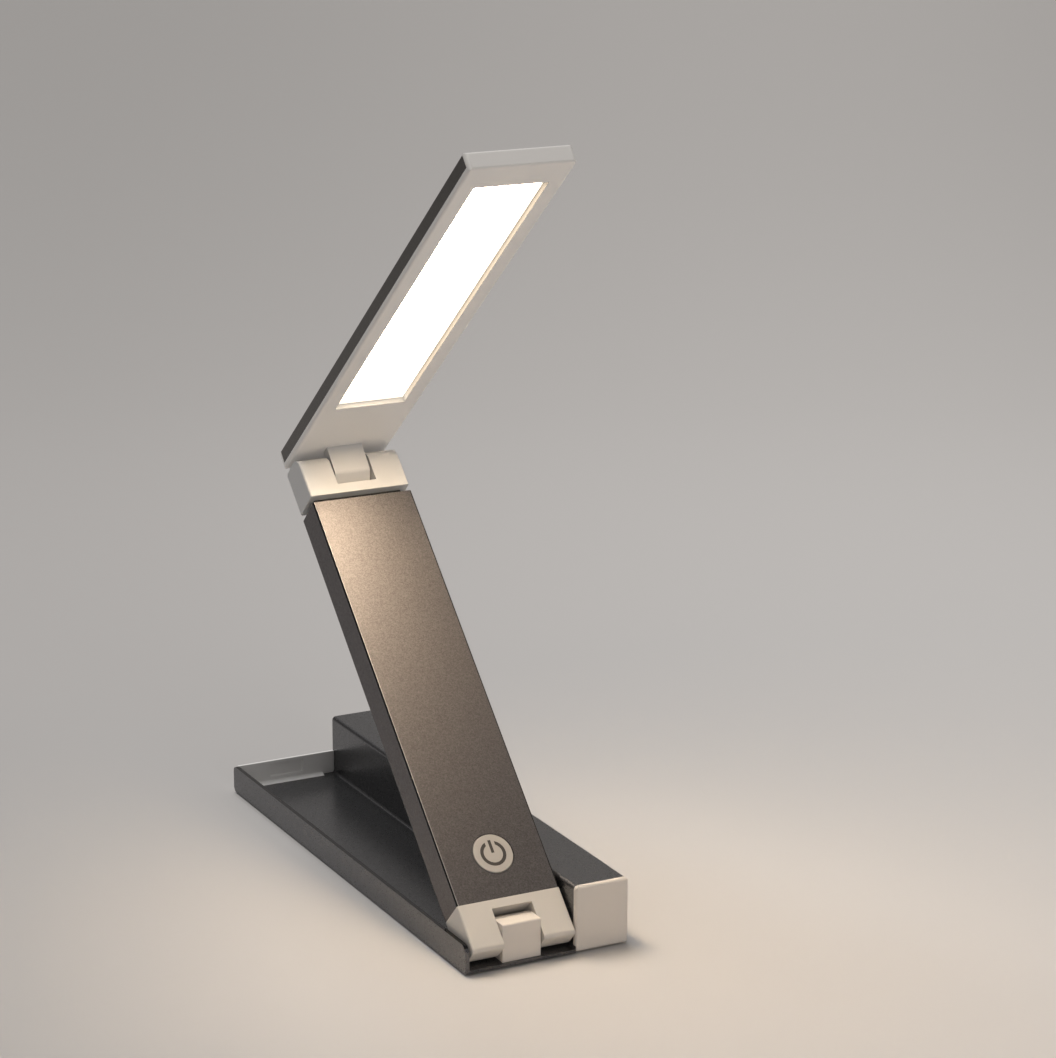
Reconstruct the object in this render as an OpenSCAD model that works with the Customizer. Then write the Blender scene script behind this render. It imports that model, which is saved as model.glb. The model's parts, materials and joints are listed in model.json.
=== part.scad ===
// Folding LED desk lamp.
// A tray-shaped base with a battery block along its right side, a flat arm that folds down
// into the tray, and a flat light head that folds down onto the arm.
// Millimetres, +Z up, +Y to the back, origin at the centre of the underside.
// Every piece of the arm is drawn lying flat with its lower hinge axis on X, and every piece
// of the head lying folded on the arm with the upper hinge axis on X. at_arm() and at_head()
// then raise them.

/* [Pose] */
// Angle of the arm above the tray floor
arm_angle = 44.3; // [0:0.1:90]
// Angle that the head is opened from its folded place
head_angle = 85.2; // [0.2:0.1:90]

/* [Base] */
// Wall thickness of the base profile
shell_wall = 1.5; // [1.2:0.1:1.8]
// Thickness of the tray floor
floor_t = 1.2; // [1:0.1:1.8]
// Height of the tray's rim above the table
rim_h = 10.4; // [8:0.1:10.4]
// Width of the battery block
block_w = 20; // [19.5:0.5:26]
// Radius of the block's long outer edges
block_edge_r = 1.5; // [0.8:0.1:2]
// Radius of the fillet between tray floor and block
floor_fillet_r = 1; // [0.6:0.1:1.2]
// Radius of the rim's upper corner at the front
rim_front_r = 3; // [1:0.5:4]
// Radius of the rim's corners at the back
rim_back_r = 2; // [1:0.5:3]
// Thickness of the non-slip pad
pad_t = 0.5; // [0.4:0.1:1]
// Distance of the pad from the edges of the base
pad_inset = 2.5; // [2:0.5:6]
// Thickness of the tray's end wall
end_wall_t = 1.3; // [1.1:0.1:1.3]
// Depth of the relief in the end wall
end_relief = 0.8; // [0.3:0.1:0.8]
// Depth of the end wall's foot along the floor
end_foot = 3.3; // [3:0.1:6]
// Height of the foot's slope where it meets the end wall
end_foot_rise = 1.1; // [0.3:0.1:1.2]
// Thickness of the front cap's face
cap_t = 1.9; // [1.5:0.1:3]
// Depth of the rear cap inside the block
cap_plug = 5; // [4:0.5:8]
// Radius of the front cap's edges
cap_edge_r = 1.2; // [0.6:0.1:1.4]

/* [Arm] */
// Width of the arm
arm_w = 38; // [36:0.5:44]
// Thickness of the arm
arm_t = 13; // [13:0.1:14]
// Wall thickness of the arm's metal sleeve
sleeve_wall = 1; // [0.8:0.1:1.2]
// Radius of the sleeve's long edges
sleeve_edge_r = 0.7; // [0.4:0.1:1]
// Distance between the two hinge axes
axis_span = 181.4; // [170:0.1:200]
// Distance of the lower axis from the front of the base
axis_inset = 7.5; // [7.5:0.1:9]
// Lower end of the sleeve, from the lower axis
sleeve_start = 10.5; // [10:0.1:12]
// Upper end of the sleeve, short of the upper axis
sleeve_short = 12.9; // [12.5:0.1:14]
// Shadow gap between sleeve and upper fork
neck_gap = 2.5; // [1.5:0.1:3]
// Length of the fork spigots inside the sleeve
spigot_len = 6.5; // [5:0.5:7]

/* [Head] */
// Width of the head
head_w = 37.6; // [36:0.1:38]
// Thickness of the head
head_t = 6.4; // [6.4:0.1:8]
// Length of the head past the upper axis, at its near end
head_over = 7.8; // [7:0.1:7.8]
// Width of the light window
window_w = 26.2; // [24:0.1:27]
// Length of the light window
window_len = 142; // [130:0.5:143]
// Distance of the window from the head's far end
window_far = 11.5; // [10:0.5:14]
// Thickness of the head's light-side wall
face_t = 2; // [1.6:0.1:2.2]
// Thickness of the head's metal cover
cover_t = 0.8; // [0.6:0.1:1]
// Height of the white strip below the cover's side
side_strip = 1.9; // [1.5:0.1:2.5]
// Length of the white ends past the cover
end_lip = 1.8; // [1.5:0.1:2.5]
// Radius of the head's long light-side edges
head_edge_r = 0.9; // [0.4:0.1:1.2]
// Radius of the head's near end, at the back
near_end_r = 2.6; // [1:0.1:3]
// Radius of the head's corners, seen from its face
head_corner_r = 1.4; // [0.8:0.1:1.6]

/* [Hinges] */
// Radius of the hollow hinge pins
pin_r = 2.5; // [2.2:0.1:2.8]
// Radius of the wire passage in the pins
pin_bore_r = 1.6; // [1.4:0.1:1.7]
// Length of pin held in each fork ear
pin_grip = 5.5; // [4:0.1:6]
// Width of the base knuckle
knuckle_w = 14.2; // [13:0.1:15]
// Height of the base knuckle above the lower axis
knuckle_rise = 6.4; // [6:0.1:6.4]
// Radius of the base knuckle's upper front edge
knuckle_edge_r = 0.7; // [0.5:0.1:1]
// Depth of the slot in the lower fork, past the axis
low_slot = 7.4; // [7:0.1:8]
// Width of the head's hinge tongue
tongue_w = 13.5; // [12.5:0.1:14]
// Radius of the tongue's barrel
barrel_r = 6.4; // [6.3:0.1:6.4]
// Distance of the tongue's front face from the axis
tongue_front = 6.2; // [6:0.1:6.2]
// Thickness of the tongue's neck
neck_t = 3.9; // [3.6:0.1:3.9]
// Radius of the bend in the tongue's front face
tongue_bend_r = 2; // [0.5:0.1:2.5]
// Width of the slot in the upper fork
high_slot_w = 14.9; // [14.8:0.1:17]
// Radius of the upper fork's front shoulder
shoulder_r = 5; // [3:0.5:5.5]
// Radius of the lower fork's front toe
toe_r = 1.5; // [1:0.1:3]

/* [Button] */
// Radius of the power button
button_r = 7.1; // [6.5:0.05:8]
// Height of the button above the sleeve
button_proud = 0.3; // [0.1:0.1:0.4]
// Travel of the button
button_travel = 0.5; // [0.3:0.1:0.7]
// Distance of the button from the sleeve's lower end
button_up = 16; // [14:0.5:20]
// Outer radius of the power symbol's ring
symbol_r = 4.6; // [4:0.1:5]
// Stroke width of the power symbol
symbol_line = 1.2; // [0.7:0.1:1.2]

/* [Battery and electronics] */
// Diameter of a cell
cell_d = 14.2; // [13.8:0.1:14.4]
// Length of a cell
cell_len = 50; // [45:1:52]
// Thickness of the circuit boards
board_t = 1.2; // [0.8:0.1:1.6]
// Length of the control board
control_len = 56; // [50:1:70]
// Width of the control board
control_w = 30; // [26:1:32]
// Length of the charging board
charge_len = 32; // [28:1:40]
// Width of the charging socket
port_w = 8.9; // [8.9:0.1:9.1]
// Height of the charging socket
port_h = 3.2; // [3.1:0.1:3.3]
// Diameter of a wire
wire_d = 0.9; // [0.8:0.05:0.95]

/* [Clearances] */
// Gap between the arm and each side of the tray
side_gap = 0.75; // [0.5:0.05:1.2]
// Gap between the lowered arm and the tray floor
low_gap = 0.3; // [0.3:0.05:0.6]
// Gap between the folded arm and the head
head_gap = 2.3; // [2.2:0.1:3]
// Gap between the lowered arm and the tray's end wall
end_gap = 0.4; // [0.4:0.05:0.8]
// Radial running clearance of the hinge pins
run_gap = 0.05; // [0.03:0.01:0.08]
// Clearance beside the base knuckle
knuckle_gap = 0.3; // [0.2:0.05:0.5]
// Clearance round pieces that are slipped into a housing
slip_gap = 0.1; // [0.05:0.05:0.2]
// Clearance round the power button
button_gap = 0.25; // [0.15:0.05:0.4]

/* [Hidden] */

$fn = 48;
metal = [0.27, 0.25, 0.24];
white = [0.9, 0.88, 0.84];
steel = [0.7, 0.7, 0.72];
board_green = [0.1, 0.3, 0.2];
dark = [0.12, 0.11, 0.11];

// Base, measured from its left face, its front and the table
half_t = arm_t / 2;
tray_w = shell_wall + 2 * side_gap + arm_w;
base_w = tray_w + block_w;
base_len = axis_inset + axis_span + half_t + end_gap + end_wall_t;
floor_z = pad_t + floor_t;
pad_corner_r = 3;
low_axis_z = floor_z + low_gap + half_t;
block_h = low_axis_z + half_t + head_gap + head_t;
left_x = -base_w / 2;
front_y = -base_len / 2;
back_y = base_len / 2;
arm_x = left_x + shell_wall + side_gap + arm_w / 2;
low_axis_y = front_y + axis_inset;
block_x = left_x + tray_w;
hollow_x = block_x + shell_wall;
hollow_w = block_w - 2 * shell_wall;
hollow_h = block_h - shell_wall - floor_z;
hollow_r = 0.8;
front_plug = axis_inset - pin_r - cap_t - 2 * slip_gap;
end_foot_inset = 5;
end_foot_x = block_x - end_foot_inset;
end_wall_r = 0.5;
end_foot_tip = 0.1;
end_relief_low = 2.3;
end_relief_slope = 0.35;
end_relief_high = 1.5;
plug_wall = 1.3;
overcut = 1;

// Screws: shank radius, head radius and head height
cap_screw = [1, 1.5, 1.2];
knuckle_screw = [1.25, 2.3, 0.9];
fork_screw = [1.1, 2.1, 1];
board_screw = [0.8, 1.5, 0.8];
screw_bite = 4;
board_screw_bite = 2;

// The screw channels in the block's inner corners, as X and Z
channel_wall = 0.9;
channel_sink = 0.3;
channel_inset = cap_screw[0] + channel_wall - channel_sink;
channel_places = [[hollow_x + channel_inset, floor_z + hollow_h - channel_inset],
    [hollow_x + hollow_w - channel_inset, floor_z + channel_inset]];

// Hinges
low_slot_w = knuckle_w + 2 * knuckle_gap;
washer_recess = 1;
washer_r = 4.3;
pin_half = max(low_slot_w, high_slot_w) / 2 + pin_grip;
pin_end_gap = 0.5;
duct_r = 1.5;
duct_x = pin_half + duct_r;
knuckle_inset = 1;
knuckle_front = axis_inset - knuckle_inset;
knuckle_screw_inset = 3.4;
fork_spigot_end = sleeve_start + spigot_len;
sleeve_end = axis_span - sleeve_short;
high_fork_start = sleeve_end + neck_gap;
turn_gap = 0.5;
high_slot_bottom = tongue_front + turn_gap;
spigot_w = arm_w - 2 * sleeve_wall - 2 * slip_gap;
spigot_r = 0.3;
fork_back_r = 2;
neck_inset = 2.3;
neck_depth = 3.4;

// Button, switch and control board, measured from the lower axis and the arm's mid plane
button_s = sleeve_start + button_up;
flange_t = 0.8;
flange_lip = 1.2;
flange_r = button_r + flange_lip;
flange_top = half_t - sleeve_wall - slip_gap;
stem_r = 2;
button_edge_r = 0.4;
symbol_mouth = 3.4;
symbol_bar = 4.7;
symbol_depth = 0.3;
spine_t = 1.2;
spine_z = -half_t + sleeve_wall + slip_gap;
control_lead = 1.5;
control_s = fork_spigot_end + control_lead;
control_top = -1;
switch_w = 6.2;
switch_h = 2.6;
plunger_r = 1.7;
plunger_sink = 1;
plunger_low = control_top + switch_h - plunger_sink + button_travel;
stem_low = plunger_low + plunger_sink + slip_gap;
post_r = 2;
fork_screw_x = 11;
control_screw_inset = 14.5;
control_plug = [4.5, 6, 3.4];
control_plug_x = 3.5;
control_plug_y = 9;

// Head, measured from the upper axis
face_z = half_t + head_gap;
head_back_z = face_z + head_t;
head_far_y = -axis_span - axis_inset;
head_len = head_over - head_far_y;
cover_z = head_back_z - cover_t;
frame_wall = 1.2;
cavity_half = head_w / 2 - cover_t - frame_wall;
cavity_far_y = head_far_y + end_lip + frame_wall;
cavity_near_y = head_over - end_lip - frame_wall;
window_far_y = head_far_y + window_far;
optic_margin = 1.2;
optic_half = window_w / 2 + optic_margin;
diffuser_t = 1;
guide_t = 1.9;
sheet_t = 0.25;
led_deep = 0.7;
led_board_t = 0.7;
led_board_tail = 4;
led_board_end = window_far_y + window_len + led_board_tail;
led_pitch = 5;
led_len = 2.8;
chamfer = sqrt(barrel_r * barrel_r - tongue_front * tongue_front);
tongue_lead = tongue_front - neck_t / 2;
lead_gap = 0.4;
lead_r = wire_d + lead_gap;
flange_z = face_z + face_t;
tongue_flange_t = 1.2;
tongue_screw_x = tongue_w / 2 + 2 * board_screw[1];
tongue_screw_len = tongue_flange_t + face_t * 0.75;
tongue_flange_half = tongue_screw_x + 1.6 * board_screw[1];
tongue_flange_len = 9;

// Battery block, measured along Y
cell_seat = 1.4;
cell_z = floor_z + cell_seat + cell_d / 2;
cell_x = hollow_x + hollow_w / 2;
cell_button_r = 2.8;
cell_button_h = 1;
contact_t = 0.4;
holder_wall = 1.5;
bay_len = cell_len + 2 * contact_t;
holder_len = 2 * bay_len + 3 * holder_wall;
holder_lead = 16;
holder_y = low_axis_y + holder_lead;
charge_board_gap = 1;
charge_w = hollow_w - 2 * charge_board_gap;
charge_screw_inset = [1.2, 3];
charge_z = floor_z + hollow_h * 0.3;
port_len = 7.4;
port_wall = 0.3;
port_back = 1.5;
port_tongue = [6.6, 0.7];
port_tongue_in = 1.2;
port_z = charge_z + board_t;
rail_w = 2;
indicator_r = 1;
indicator_rise = 4;
indicator_z = port_z + port_h + indicator_rise;
indicator_tail = 2;
holder_rise = 4;
holder_top = cell_z + holder_rise;
charge_plug = [6, 4.5, 4];
charge_plug_y = 3.5;
pin_stub = 0.2;

// Components on the boards, each as width, length and height
driver_chip = [4.9, 6, 1.6];
coil_chip = [5, 5, 2.6];
small_chip = [2, 1.2, 0.8];
chip_step = 6.4;

// Half the distance between two wires side by side, the straight run where a wire leaves a
// plug, and how far the corners of a pair are moved along it so that it keeps its distance
// through half a right angle
wire_lift = (wire_d + slip_gap) / 2;
wire_run = 2;
bend_miss = tan(22.5);

// Raises pieces of the arm from flat to their place
module at_arm() {
    translate([arm_x, low_axis_y, low_axis_z]) rotate([arm_angle, 0, 0]) children();
}

// Opens pieces of the head from folded to their place
module at_head() {
    at_arm() translate([0, axis_span, 0]) rotate([-head_angle, 0, 0]) children();
}

// Extrudes an outline drawn in X and Z along Y, from y over len
module along_y(y, len) {
    translate([0, y + len, 0]) rotate([90, 0, 0]) linear_extrude(len) children();
}

// Extrudes an outline drawn in Y and Z along X, from x over len
module along_x(x, len) {
    translate([x, 0, 0]) rotate([90, 0, 90]) linear_extrude(len) children();
}

module box(low, high) {
    translate(low) cube(high - low);
}

// A rectangle from low to high with round corners
module round_rect(low, high, r) {
    size = high - low;
    translate(low + [r, 0]) square([size.x - 2 * r, size.y]);
    translate(low + [0, r]) square([size.x, size.y - 2 * r]);
    for (x = [low.x + r, high.x - r], y = [low.y + r, high.y - r]) translate([x, y]) circle(r);
}

// What is cut from a square corner at p to round it, dir pointing out of the corner
module corner_cut(p, r, dir) {
    translate([p.x - (dir.x > 0 ? r : 0), p.y - (dir.y > 0 ? r : 0)]) difference() {
        translate([dir.x > 0 ? 0 : -overcut, dir.y > 0 ? 0 : -overcut])
            square([r + overcut, r + overcut]);
        translate([dir.x > 0 ? 0 : r, dir.y > 0 ? 0 : r]) circle(r);
    }
}

// A shaft along X between two x values
module x_rod(x0, x1, r) {
    translate([x0, 0, 0]) rotate([0, 90, 0]) cylinder(x1 - x0, r, r);
}

// A shaft along Y between two y values
module y_rod(y0, y1, r) {
    translate([0, y0, 0]) rotate([-90, 0, 0]) cylinder(y1 - y0, r, r);
}

// A screw with its point at the origin and a flat head on top; kind is shank radius, head
// radius and head height
module pan_screw(kind, len) {
    slot_w = kind[1] * 0.35;
    difference() {
        union() {
            cylinder(len, kind[0], kind[0]);
            translate([0, 0, len]) cylinder(kind[2], kind[1], kind[1]);
        }
        for (turn = [0, 90]) rotate(turn)
            translate([-kind[1] * 0.6, -slot_w / 2, len + kind[2] / 2])
                cube([kind[1] * 1.2, slot_w, kind[2]]);
    }
}

// A countersunk screw with its point at the origin
module flat_screw(kind, len) {
    slot_w = kind[1] * 0.3;
    difference() {
        union() {
            cylinder(len, kind[0], kind[0]);
            translate([0, 0, len]) cylinder(kind[2], kind[0], kind[1]);
        }
        for (turn = [0, 90]) rotate(turn)
            translate([-kind[1] * 0.6, -slot_w / 2, len + kind[2] * 0.5])
                cube([kind[1] * 1.2, slot_w, kind[2]]);
    }
}

function unit(v) = v / norm(v);

// Directions of the straight runs between a route's points
function runs(route) = [for (i = [0:len(route) - 2]) unit(route[i + 1] - route[i])];

// One side direction for each run, carried round each bend by mirroring in the mitre plane
function sides(run, u, i = 0) =
    i == len(run) ? [] :
    let (m = i + 1 < len(run) ? unit(run[i] + run[i + 1]) : run[i])
    concat([u], sides(run, i + 1 < len(run) ? u - 2 * (u * m) * m : u, i + 1));

// A wire along a route, mitred at each bend
module wire(route) {
    count = 10;
    last = len(route) - 1;
    run = runs(route);
    first = unit(cross(run[0], abs(run[0].z) < 0.9 ? [0, 0, 1] : [0, 1, 0]));
    side = sides(run, first);
    points = [for (i = [0:last], k = [0:count - 1])
        let (seg = max(i - 1, 0), t = run[seg], u = side[seg], v = cross(t, u),
            m = i == 0 || i == last ? t : unit(run[i - 1] + run[i]), a = 360 * k / count,
            w = (u * cos(a) + v * sin(a)) * wire_d / 2)
        route[i] + w - t * ((w * m) / (t * m))];
    walls = [for (i = [0:last - 1], k = [0:count - 1]) let (n = (k + 1) % count)
        [i * count + k, (i + 1) * count + k, (i + 1) * count + n, i * count + n]];
    start = [[for (k = [0:count - 1]) k]];
    end = [[for (k = [count - 1:-1:0]) last * count + k]];
    polyhedron(points, concat(start, walls, end));
}

// ---- Base ----

// Outline of the base across its width: tray floor, rim and hollow block
module shell_outline() {
    difference() {
        union() {
            translate([left_x, pad_t]) square([tray_w + block_edge_r, floor_t]);
            translate([left_x, pad_t]) square([shell_wall, rim_h - pad_t]);
            translate([block_x, pad_t]) square(block_edge_r);
            round_rect([block_x, pad_t], [block_x + block_w, block_h], block_edge_r);
            corner = [block_x - floor_fillet_r, floor_z];
            difference() {
                translate(corner - [0, floor_t / 2])
                    square([floor_fillet_r + shell_wall / 2, floor_fillet_r + floor_t / 2]);
                translate(corner + [0, floor_fillet_r]) circle(floor_fillet_r);
            }
        }
        round_rect([hollow_x, floor_z], [hollow_x + hollow_w, floor_z + hollow_h], hollow_r);
    }
}

// Round outlines on the axes of the block's screw channels
module screw_channels(r) {
    for (p = channel_places) translate(p) circle(r);
}

module base_shell() {
    color(metal) difference() {
        union() {
            along_y(front_y, base_len) shell_outline();
            along_y(front_y + cap_t + front_plug, base_len - cap_t - front_plug - cap_plug)
                screw_channels(cap_screw[0] + channel_wall);
        }
        along_y(front_y, base_len) screw_channels(cap_screw[0]);
        box([block_x, front_y - overcut, pad_t - overcut],
            [base_w / 2 + overcut, front_y + cap_t, block_h + overcut]);
        along_x(left_x - overcut, shell_wall + overcut) {
            corner_cut([front_y, rim_h], rim_front_r, [-1, 1]);
            corner_cut([back_y, rim_h], rim_back_r, [1, 1]);
            corner_cut([back_y, pad_t], rim_back_r, [1, -1]);
        }
        box([left_x + shell_wall, back_y - end_foot, pad_t - overcut],
            [end_foot_x, back_y + overcut, floor_z]);
        translate([0, low_axis_y, low_axis_z]) x_rod(block_x - overcut, hollow_x + overcut, pin_r);
        knuckle_screw_places() {
            cylinder(floor_z, knuckle_screw[0], knuckle_screw[0]);
            cylinder(knuckle_screw[2], knuckle_screw[1], knuckle_screw[0]);
        }
    }
}

// Places under the floor where the knuckle is screwed on
module knuckle_screw_places() {
    for (side = [-1, 1])
        translate([arm_x + side * (knuckle_w / 2 - knuckle_screw_inset), low_axis_y + pin_r, pad_t])
            children();
}

module base_pad() {
    color(dark) slab([left_x + pad_inset, front_y + pad_inset],
        [base_w / 2 - pad_inset, back_y - pad_inset], pad_corner_r, 0, pad_t);
}

// A plate with round corners from z0 to z1
module slab(low, high, r, z0, z1) {
    translate([0, 0, z0]) linear_extrude(z1 - z0) round_rect(low, high, r);
}

module tray_end_wall() {
    wall_y = back_y - end_wall_t;
    relief_half = tongue_w / 2;
    relief_low = floor_z + end_relief_low;
    relief_high = rim_h - end_relief_high;
    color(white) difference() {
        union() {
            box([left_x + shell_wall, wall_y, floor_z], [block_x, back_y, rim_h]);
            along_x(left_x + shell_wall, end_foot_x - left_x - shell_wall)
                polygon([[back_y - end_foot, pad_t], [back_y, pad_t],
                    [back_y, floor_z + end_foot_rise], [wall_y, floor_z + end_foot_rise],
                    [back_y - end_foot, floor_z + end_foot_tip]]);
        }
        along_x(left_x, tray_w) corner_cut([back_y, rim_h], end_wall_r, [1, 1]);
        along_y(wall_y - floor_fillet_r, end_wall_t + 2 * floor_fillet_r)
            translate([block_x - floor_fillet_r, floor_z]) difference() {
                square(floor_fillet_r + overcut);
                translate([0, floor_fillet_r]) circle(floor_fillet_r);
                translate([0, floor_fillet_r]) square(floor_fillet_r + overcut);
            }
        along_x(arm_x - relief_half, 2 * relief_half)
            polygon([[wall_y - overcut, relief_high], [wall_y + end_relief, relief_high],
                [wall_y + end_relief, relief_low + end_relief_slope], [wall_y, relief_low],
                [wall_y - overcut, relief_low]]);
    }
}

// Outline of a plug that fills the block's hollow, clear of its walls
module plug_outline(gap) {
    round_rect([hollow_x + gap, floor_z + gap],
        [hollow_x + hollow_w - gap, floor_z + hollow_h - gap], hollow_r);
}

module block_front_cap() {
    right = block_x + block_w;
    color(white) {
        intersection() {
            along_y(front_y, cap_t) round_rect([block_x, pad_t], [right, block_h], block_edge_r);
            along_x(block_x, block_w) difference() {
                translate([front_y, pad_t]) square([cap_t, block_h - pad_t]);
                corner_cut([front_y, block_h], cap_edge_r, [-1, 1]);
                corner_cut([front_y, pad_t], cap_edge_r, [-1, -1]);
            }
            translate([0, 0, pad_t]) linear_extrude(block_h) difference() {
                translate([block_x, front_y]) square([block_w, cap_t]);
                corner_cut([block_x, front_y], cap_edge_r, [-1, -1]);
                corner_cut([right, front_y], cap_edge_r, [1, -1]);
            }
        }
        along_y(front_y + cap_t / 2, front_plug + cap_t / 2) difference() {
            plug_outline(slip_gap);
            plug_outline(slip_gap + plug_wall);
        }
    }
}

// Outline of the charging socket
module port_outline(grow) {
    round_rect([cell_x - port_w / 2 - grow, port_z - grow],
        [cell_x + port_w / 2 + grow, port_z + port_h + grow], port_h / 2 + grow - 0.01);
}

module block_rear_cap() {
    board_y = back_y - cap_t - charge_len;
    color(white) difference() {
        union() {
            along_y(back_y - cap_plug, cap_plug) plug_outline(slip_gap);
            for (x = [hollow_x + slip_gap, hollow_x + hollow_w - slip_gap - rail_w])
                box([x, board_y, charge_z - board_screw_bite],
                    [x + rail_w, back_y - cap_plug + overcut, charge_z]);
        }
        box([cell_x - charge_w / 2, board_y, charge_z],
            [cell_x + charge_w / 2, back_y - cap_t, port_z + port_h + slip_gap]);
        along_y(back_y - cap_plug - overcut, cap_plug + 2 * overcut) {
            port_outline(0);
            translate([cell_x, indicator_z]) circle(indicator_r);
            screw_channels(cap_screw[0]);
        }
        along_y(back_y - cap_screw[2], cap_screw[2] + overcut) screw_channels(cap_screw[1]);
        charge_screw_places() translate([0, 0, -board_screw_bite])
            cylinder(board_screw_bite + overcut, board_screw[0], board_screw[0]);
    }
}

module rear_cap_screws() {
    len = cap_plug + screw_bite;
    color(steel) for (p = channel_places)
        translate([p.x, back_y - cap_screw[2] - len, p.y]) rotate([-90, 0, 0])
            pan_screw(cap_screw, len);
}

module charge_indicator() {
    color([0.8, 0.9, 0.8]) translate([cell_x, 0, indicator_z])
        y_rod(back_y - cap_plug - indicator_tail, back_y, indicator_r);
}

// Outline of the knuckle, from the lower axis: flat front and top, round at the back
module knuckle_outline() {
    foot = floor_z - low_axis_z;
    difference() {
        union() {
            translate([-knuckle_front, foot]) square([knuckle_front, knuckle_rise - foot]);
            circle(knuckle_rise);
            translate([0, foot]) square([knuckle_rise, -foot]);
        }
        corner_cut([-knuckle_front, knuckle_rise], knuckle_edge_r, [-1, 1]);
    }
}

module base_knuckle() {
    color(white) difference() {
        translate([arm_x, low_axis_y, low_axis_z]) difference() {
            along_x(-knuckle_w / 2, knuckle_w) knuckle_outline();
            x_rod(-knuckle_w, knuckle_w, pin_r);
        }
        knuckle_screw_places()
            cylinder(floor_t + screw_bite, knuckle_screw[0], knuckle_screw[0]);
    }
}

module knuckle_screws() {
    color(steel) knuckle_screw_places() translate([0, 0, floor_t + screw_bite])
        mirror([0, 0, 1]) flat_screw(knuckle_screw, floor_t + screw_bite - knuckle_screw[2]);
}

// A hollow pin along X
module hollow_pin(x0, x1) {
    difference() {
        x_rod(x0, x1, pin_r);
        x_rod(x0 - overcut, x1 + overcut, pin_bore_r);
    }
}

module lower_hinge_pin() {
    color(steel) translate([arm_x, low_axis_y, low_axis_z])
        hollow_pin(-pin_half, hollow_x - arm_x + pin_stub);
}

// A friction washer on each side of a knuckle or tongue that is w wide
module washer_pair(w, t) {
    for (side = [-1, 1]) scale([side, 1, 1]) difference() {
        x_rod(w / 2, w / 2 + t, washer_r);
        x_rod(w / 2 - overcut, w / 2 + t + overcut, pin_r);
    }
}

module lower_hinge_washers() {
    color(steel) translate([arm_x, low_axis_y, low_axis_z])
        washer_pair(knuckle_w, knuckle_gap + washer_recess - slip_gap);
}

module battery_holder() {
    color(dark) difference() {
        along_y(holder_y, holder_len) intersection() {
            plug_outline(slip_gap);
            translate([hollow_x, floor_z]) square([hollow_w, holder_top - floor_z]);
        }
        for (bay = [0, 1]) translate([cell_x, holder_y + holder_wall + bay * (bay_len + holder_wall),
            cell_z]) {
            y_rod(0, bay_len, cell_d / 2);
            translate([-cell_d / 2, 0, 0]) cube([cell_d, bay_len, cell_d]);
        }
        along_y(holder_y - overcut, holder_len + 2 * overcut)
            screw_channels(cap_screw[0] + channel_wall + slip_gap);
    }
}

module battery_cells() {
    color([0.25, 0.35, 0.6]) for (bay = [0, 1])
        translate([cell_x, holder_y + holder_wall + contact_t + bay * (bay_len + holder_wall),
            cell_z]) {
            y_rod(0, cell_len - cell_button_h, cell_d / 2);
            y_rod(cell_len / 2, cell_len, cell_button_r);
        }
}

module battery_contacts() {
    half = cell_d * 0.35;
    color(steel) for (bay = [0, 1], end = [0, 1])
        translate([cell_x - half, holder_y + holder_wall + bay * (bay_len + holder_wall)
            + end * (bay_len - contact_t), cell_z - half])
            cube([2 * half, contact_t, 2 * half]);
}

module charge_screw_places() {
    for (side = [-1, 1])
        translate([cell_x + side * (charge_w / 2 - charge_screw_inset.x),
            back_y - cap_t - charge_len + charge_screw_inset.y, charge_z]) children();
}

module charge_board() {
    color(board_green) difference() {
        box([cell_x - charge_w / 2, back_y - cap_t - charge_len, charge_z],
            [cell_x + charge_w / 2, back_y - cap_t, port_z]);
        charge_screw_places() translate([0, 0, -overcut])
            cylinder(board_t + 2 * overcut, board_screw[0], board_screw[0]);
    }
}

// A component on a board: centre of its foot, and its width, length and height
module chip(x, y, z, size) {
    translate([x - size.x / 2, y - size.y / 2, z]) cube(size);
}

module charge_board_parts() {
    y = back_y - cap_t - charge_len;
    color(dark) {
        chip(cell_x - chip_step / 2, y + charge_len / 2, port_z, driver_chip);
        chip(cell_x + chip_step / 2, y + charge_len / 2, port_z, coil_chip);
        chip(cell_x - chip_step / 2, y + charge_len / 3, port_z, small_chip);
        chip(cell_x, y + charge_plug_y, port_z, charge_plug);
    }
}

module charge_board_screws() {
    color(steel) charge_screw_places() translate([0, 0, -board_screw_bite])
        pan_screw(board_screw, board_screw_bite + board_t);
}

module charging_socket() {
    middle = port_z + port_h / 2;
    color(steel) {
        difference() {
            along_y(back_y - port_len, port_len) port_outline(0);
            along_y(back_y - port_len + port_back, port_len) port_outline(-port_wall);
        }
        box([cell_x - port_tongue.x / 2, back_y - port_len + port_back / 2,
            middle - port_tongue.y / 2],
            [cell_x + port_tongue.x / 2, back_y - port_tongue_in, middle + port_tongue.y / 2]);
    }
}

// Two wires from the charging board along the block's left wall and down into the hollow pin
module base_wires() {
    x0 = hollow_x + pin_stub + slip_gap + wire_d + slip_gap / 2;
    y0 = back_y - cap_t - charge_len + charge_plug_y - charge_plug.y / 2;
    low = port_z + charge_plug.z / 2;
    high = holder_top + wire_d / 2 + slip_gap;
    bend_y = y0 - 2 * wire_run - (high - low);
    color("firebrick") for (i = [-1, 1]) {
        off = i * wire_lift;
        miss = off * bend_miss;
        wire([[cell_x + off, y0, low], [cell_x + off, y0 - wire_run, low],
            [cell_x + off, y0 - wire_run - (high - low), high],
            [cell_x + off, bend_y - miss, high],
            [x0 + off, bend_y - (cell_x - x0) - miss, high],
            [x0 + off, low_axis_y, high],
            [x0 + off, low_axis_y, low_axis_z - off],
            [arm_x - pin_half, low_axis_y, low_axis_z - off]]);
    }
}

// ---- Arm, drawn flat with the lower axis on X ----

module arm_outline(shrink_w, shrink_t, r) {
    round_rect([-arm_w / 2 + shrink_w, -half_t + shrink_t],
        [arm_w / 2 - shrink_w, half_t - shrink_t], r);
}

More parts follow.
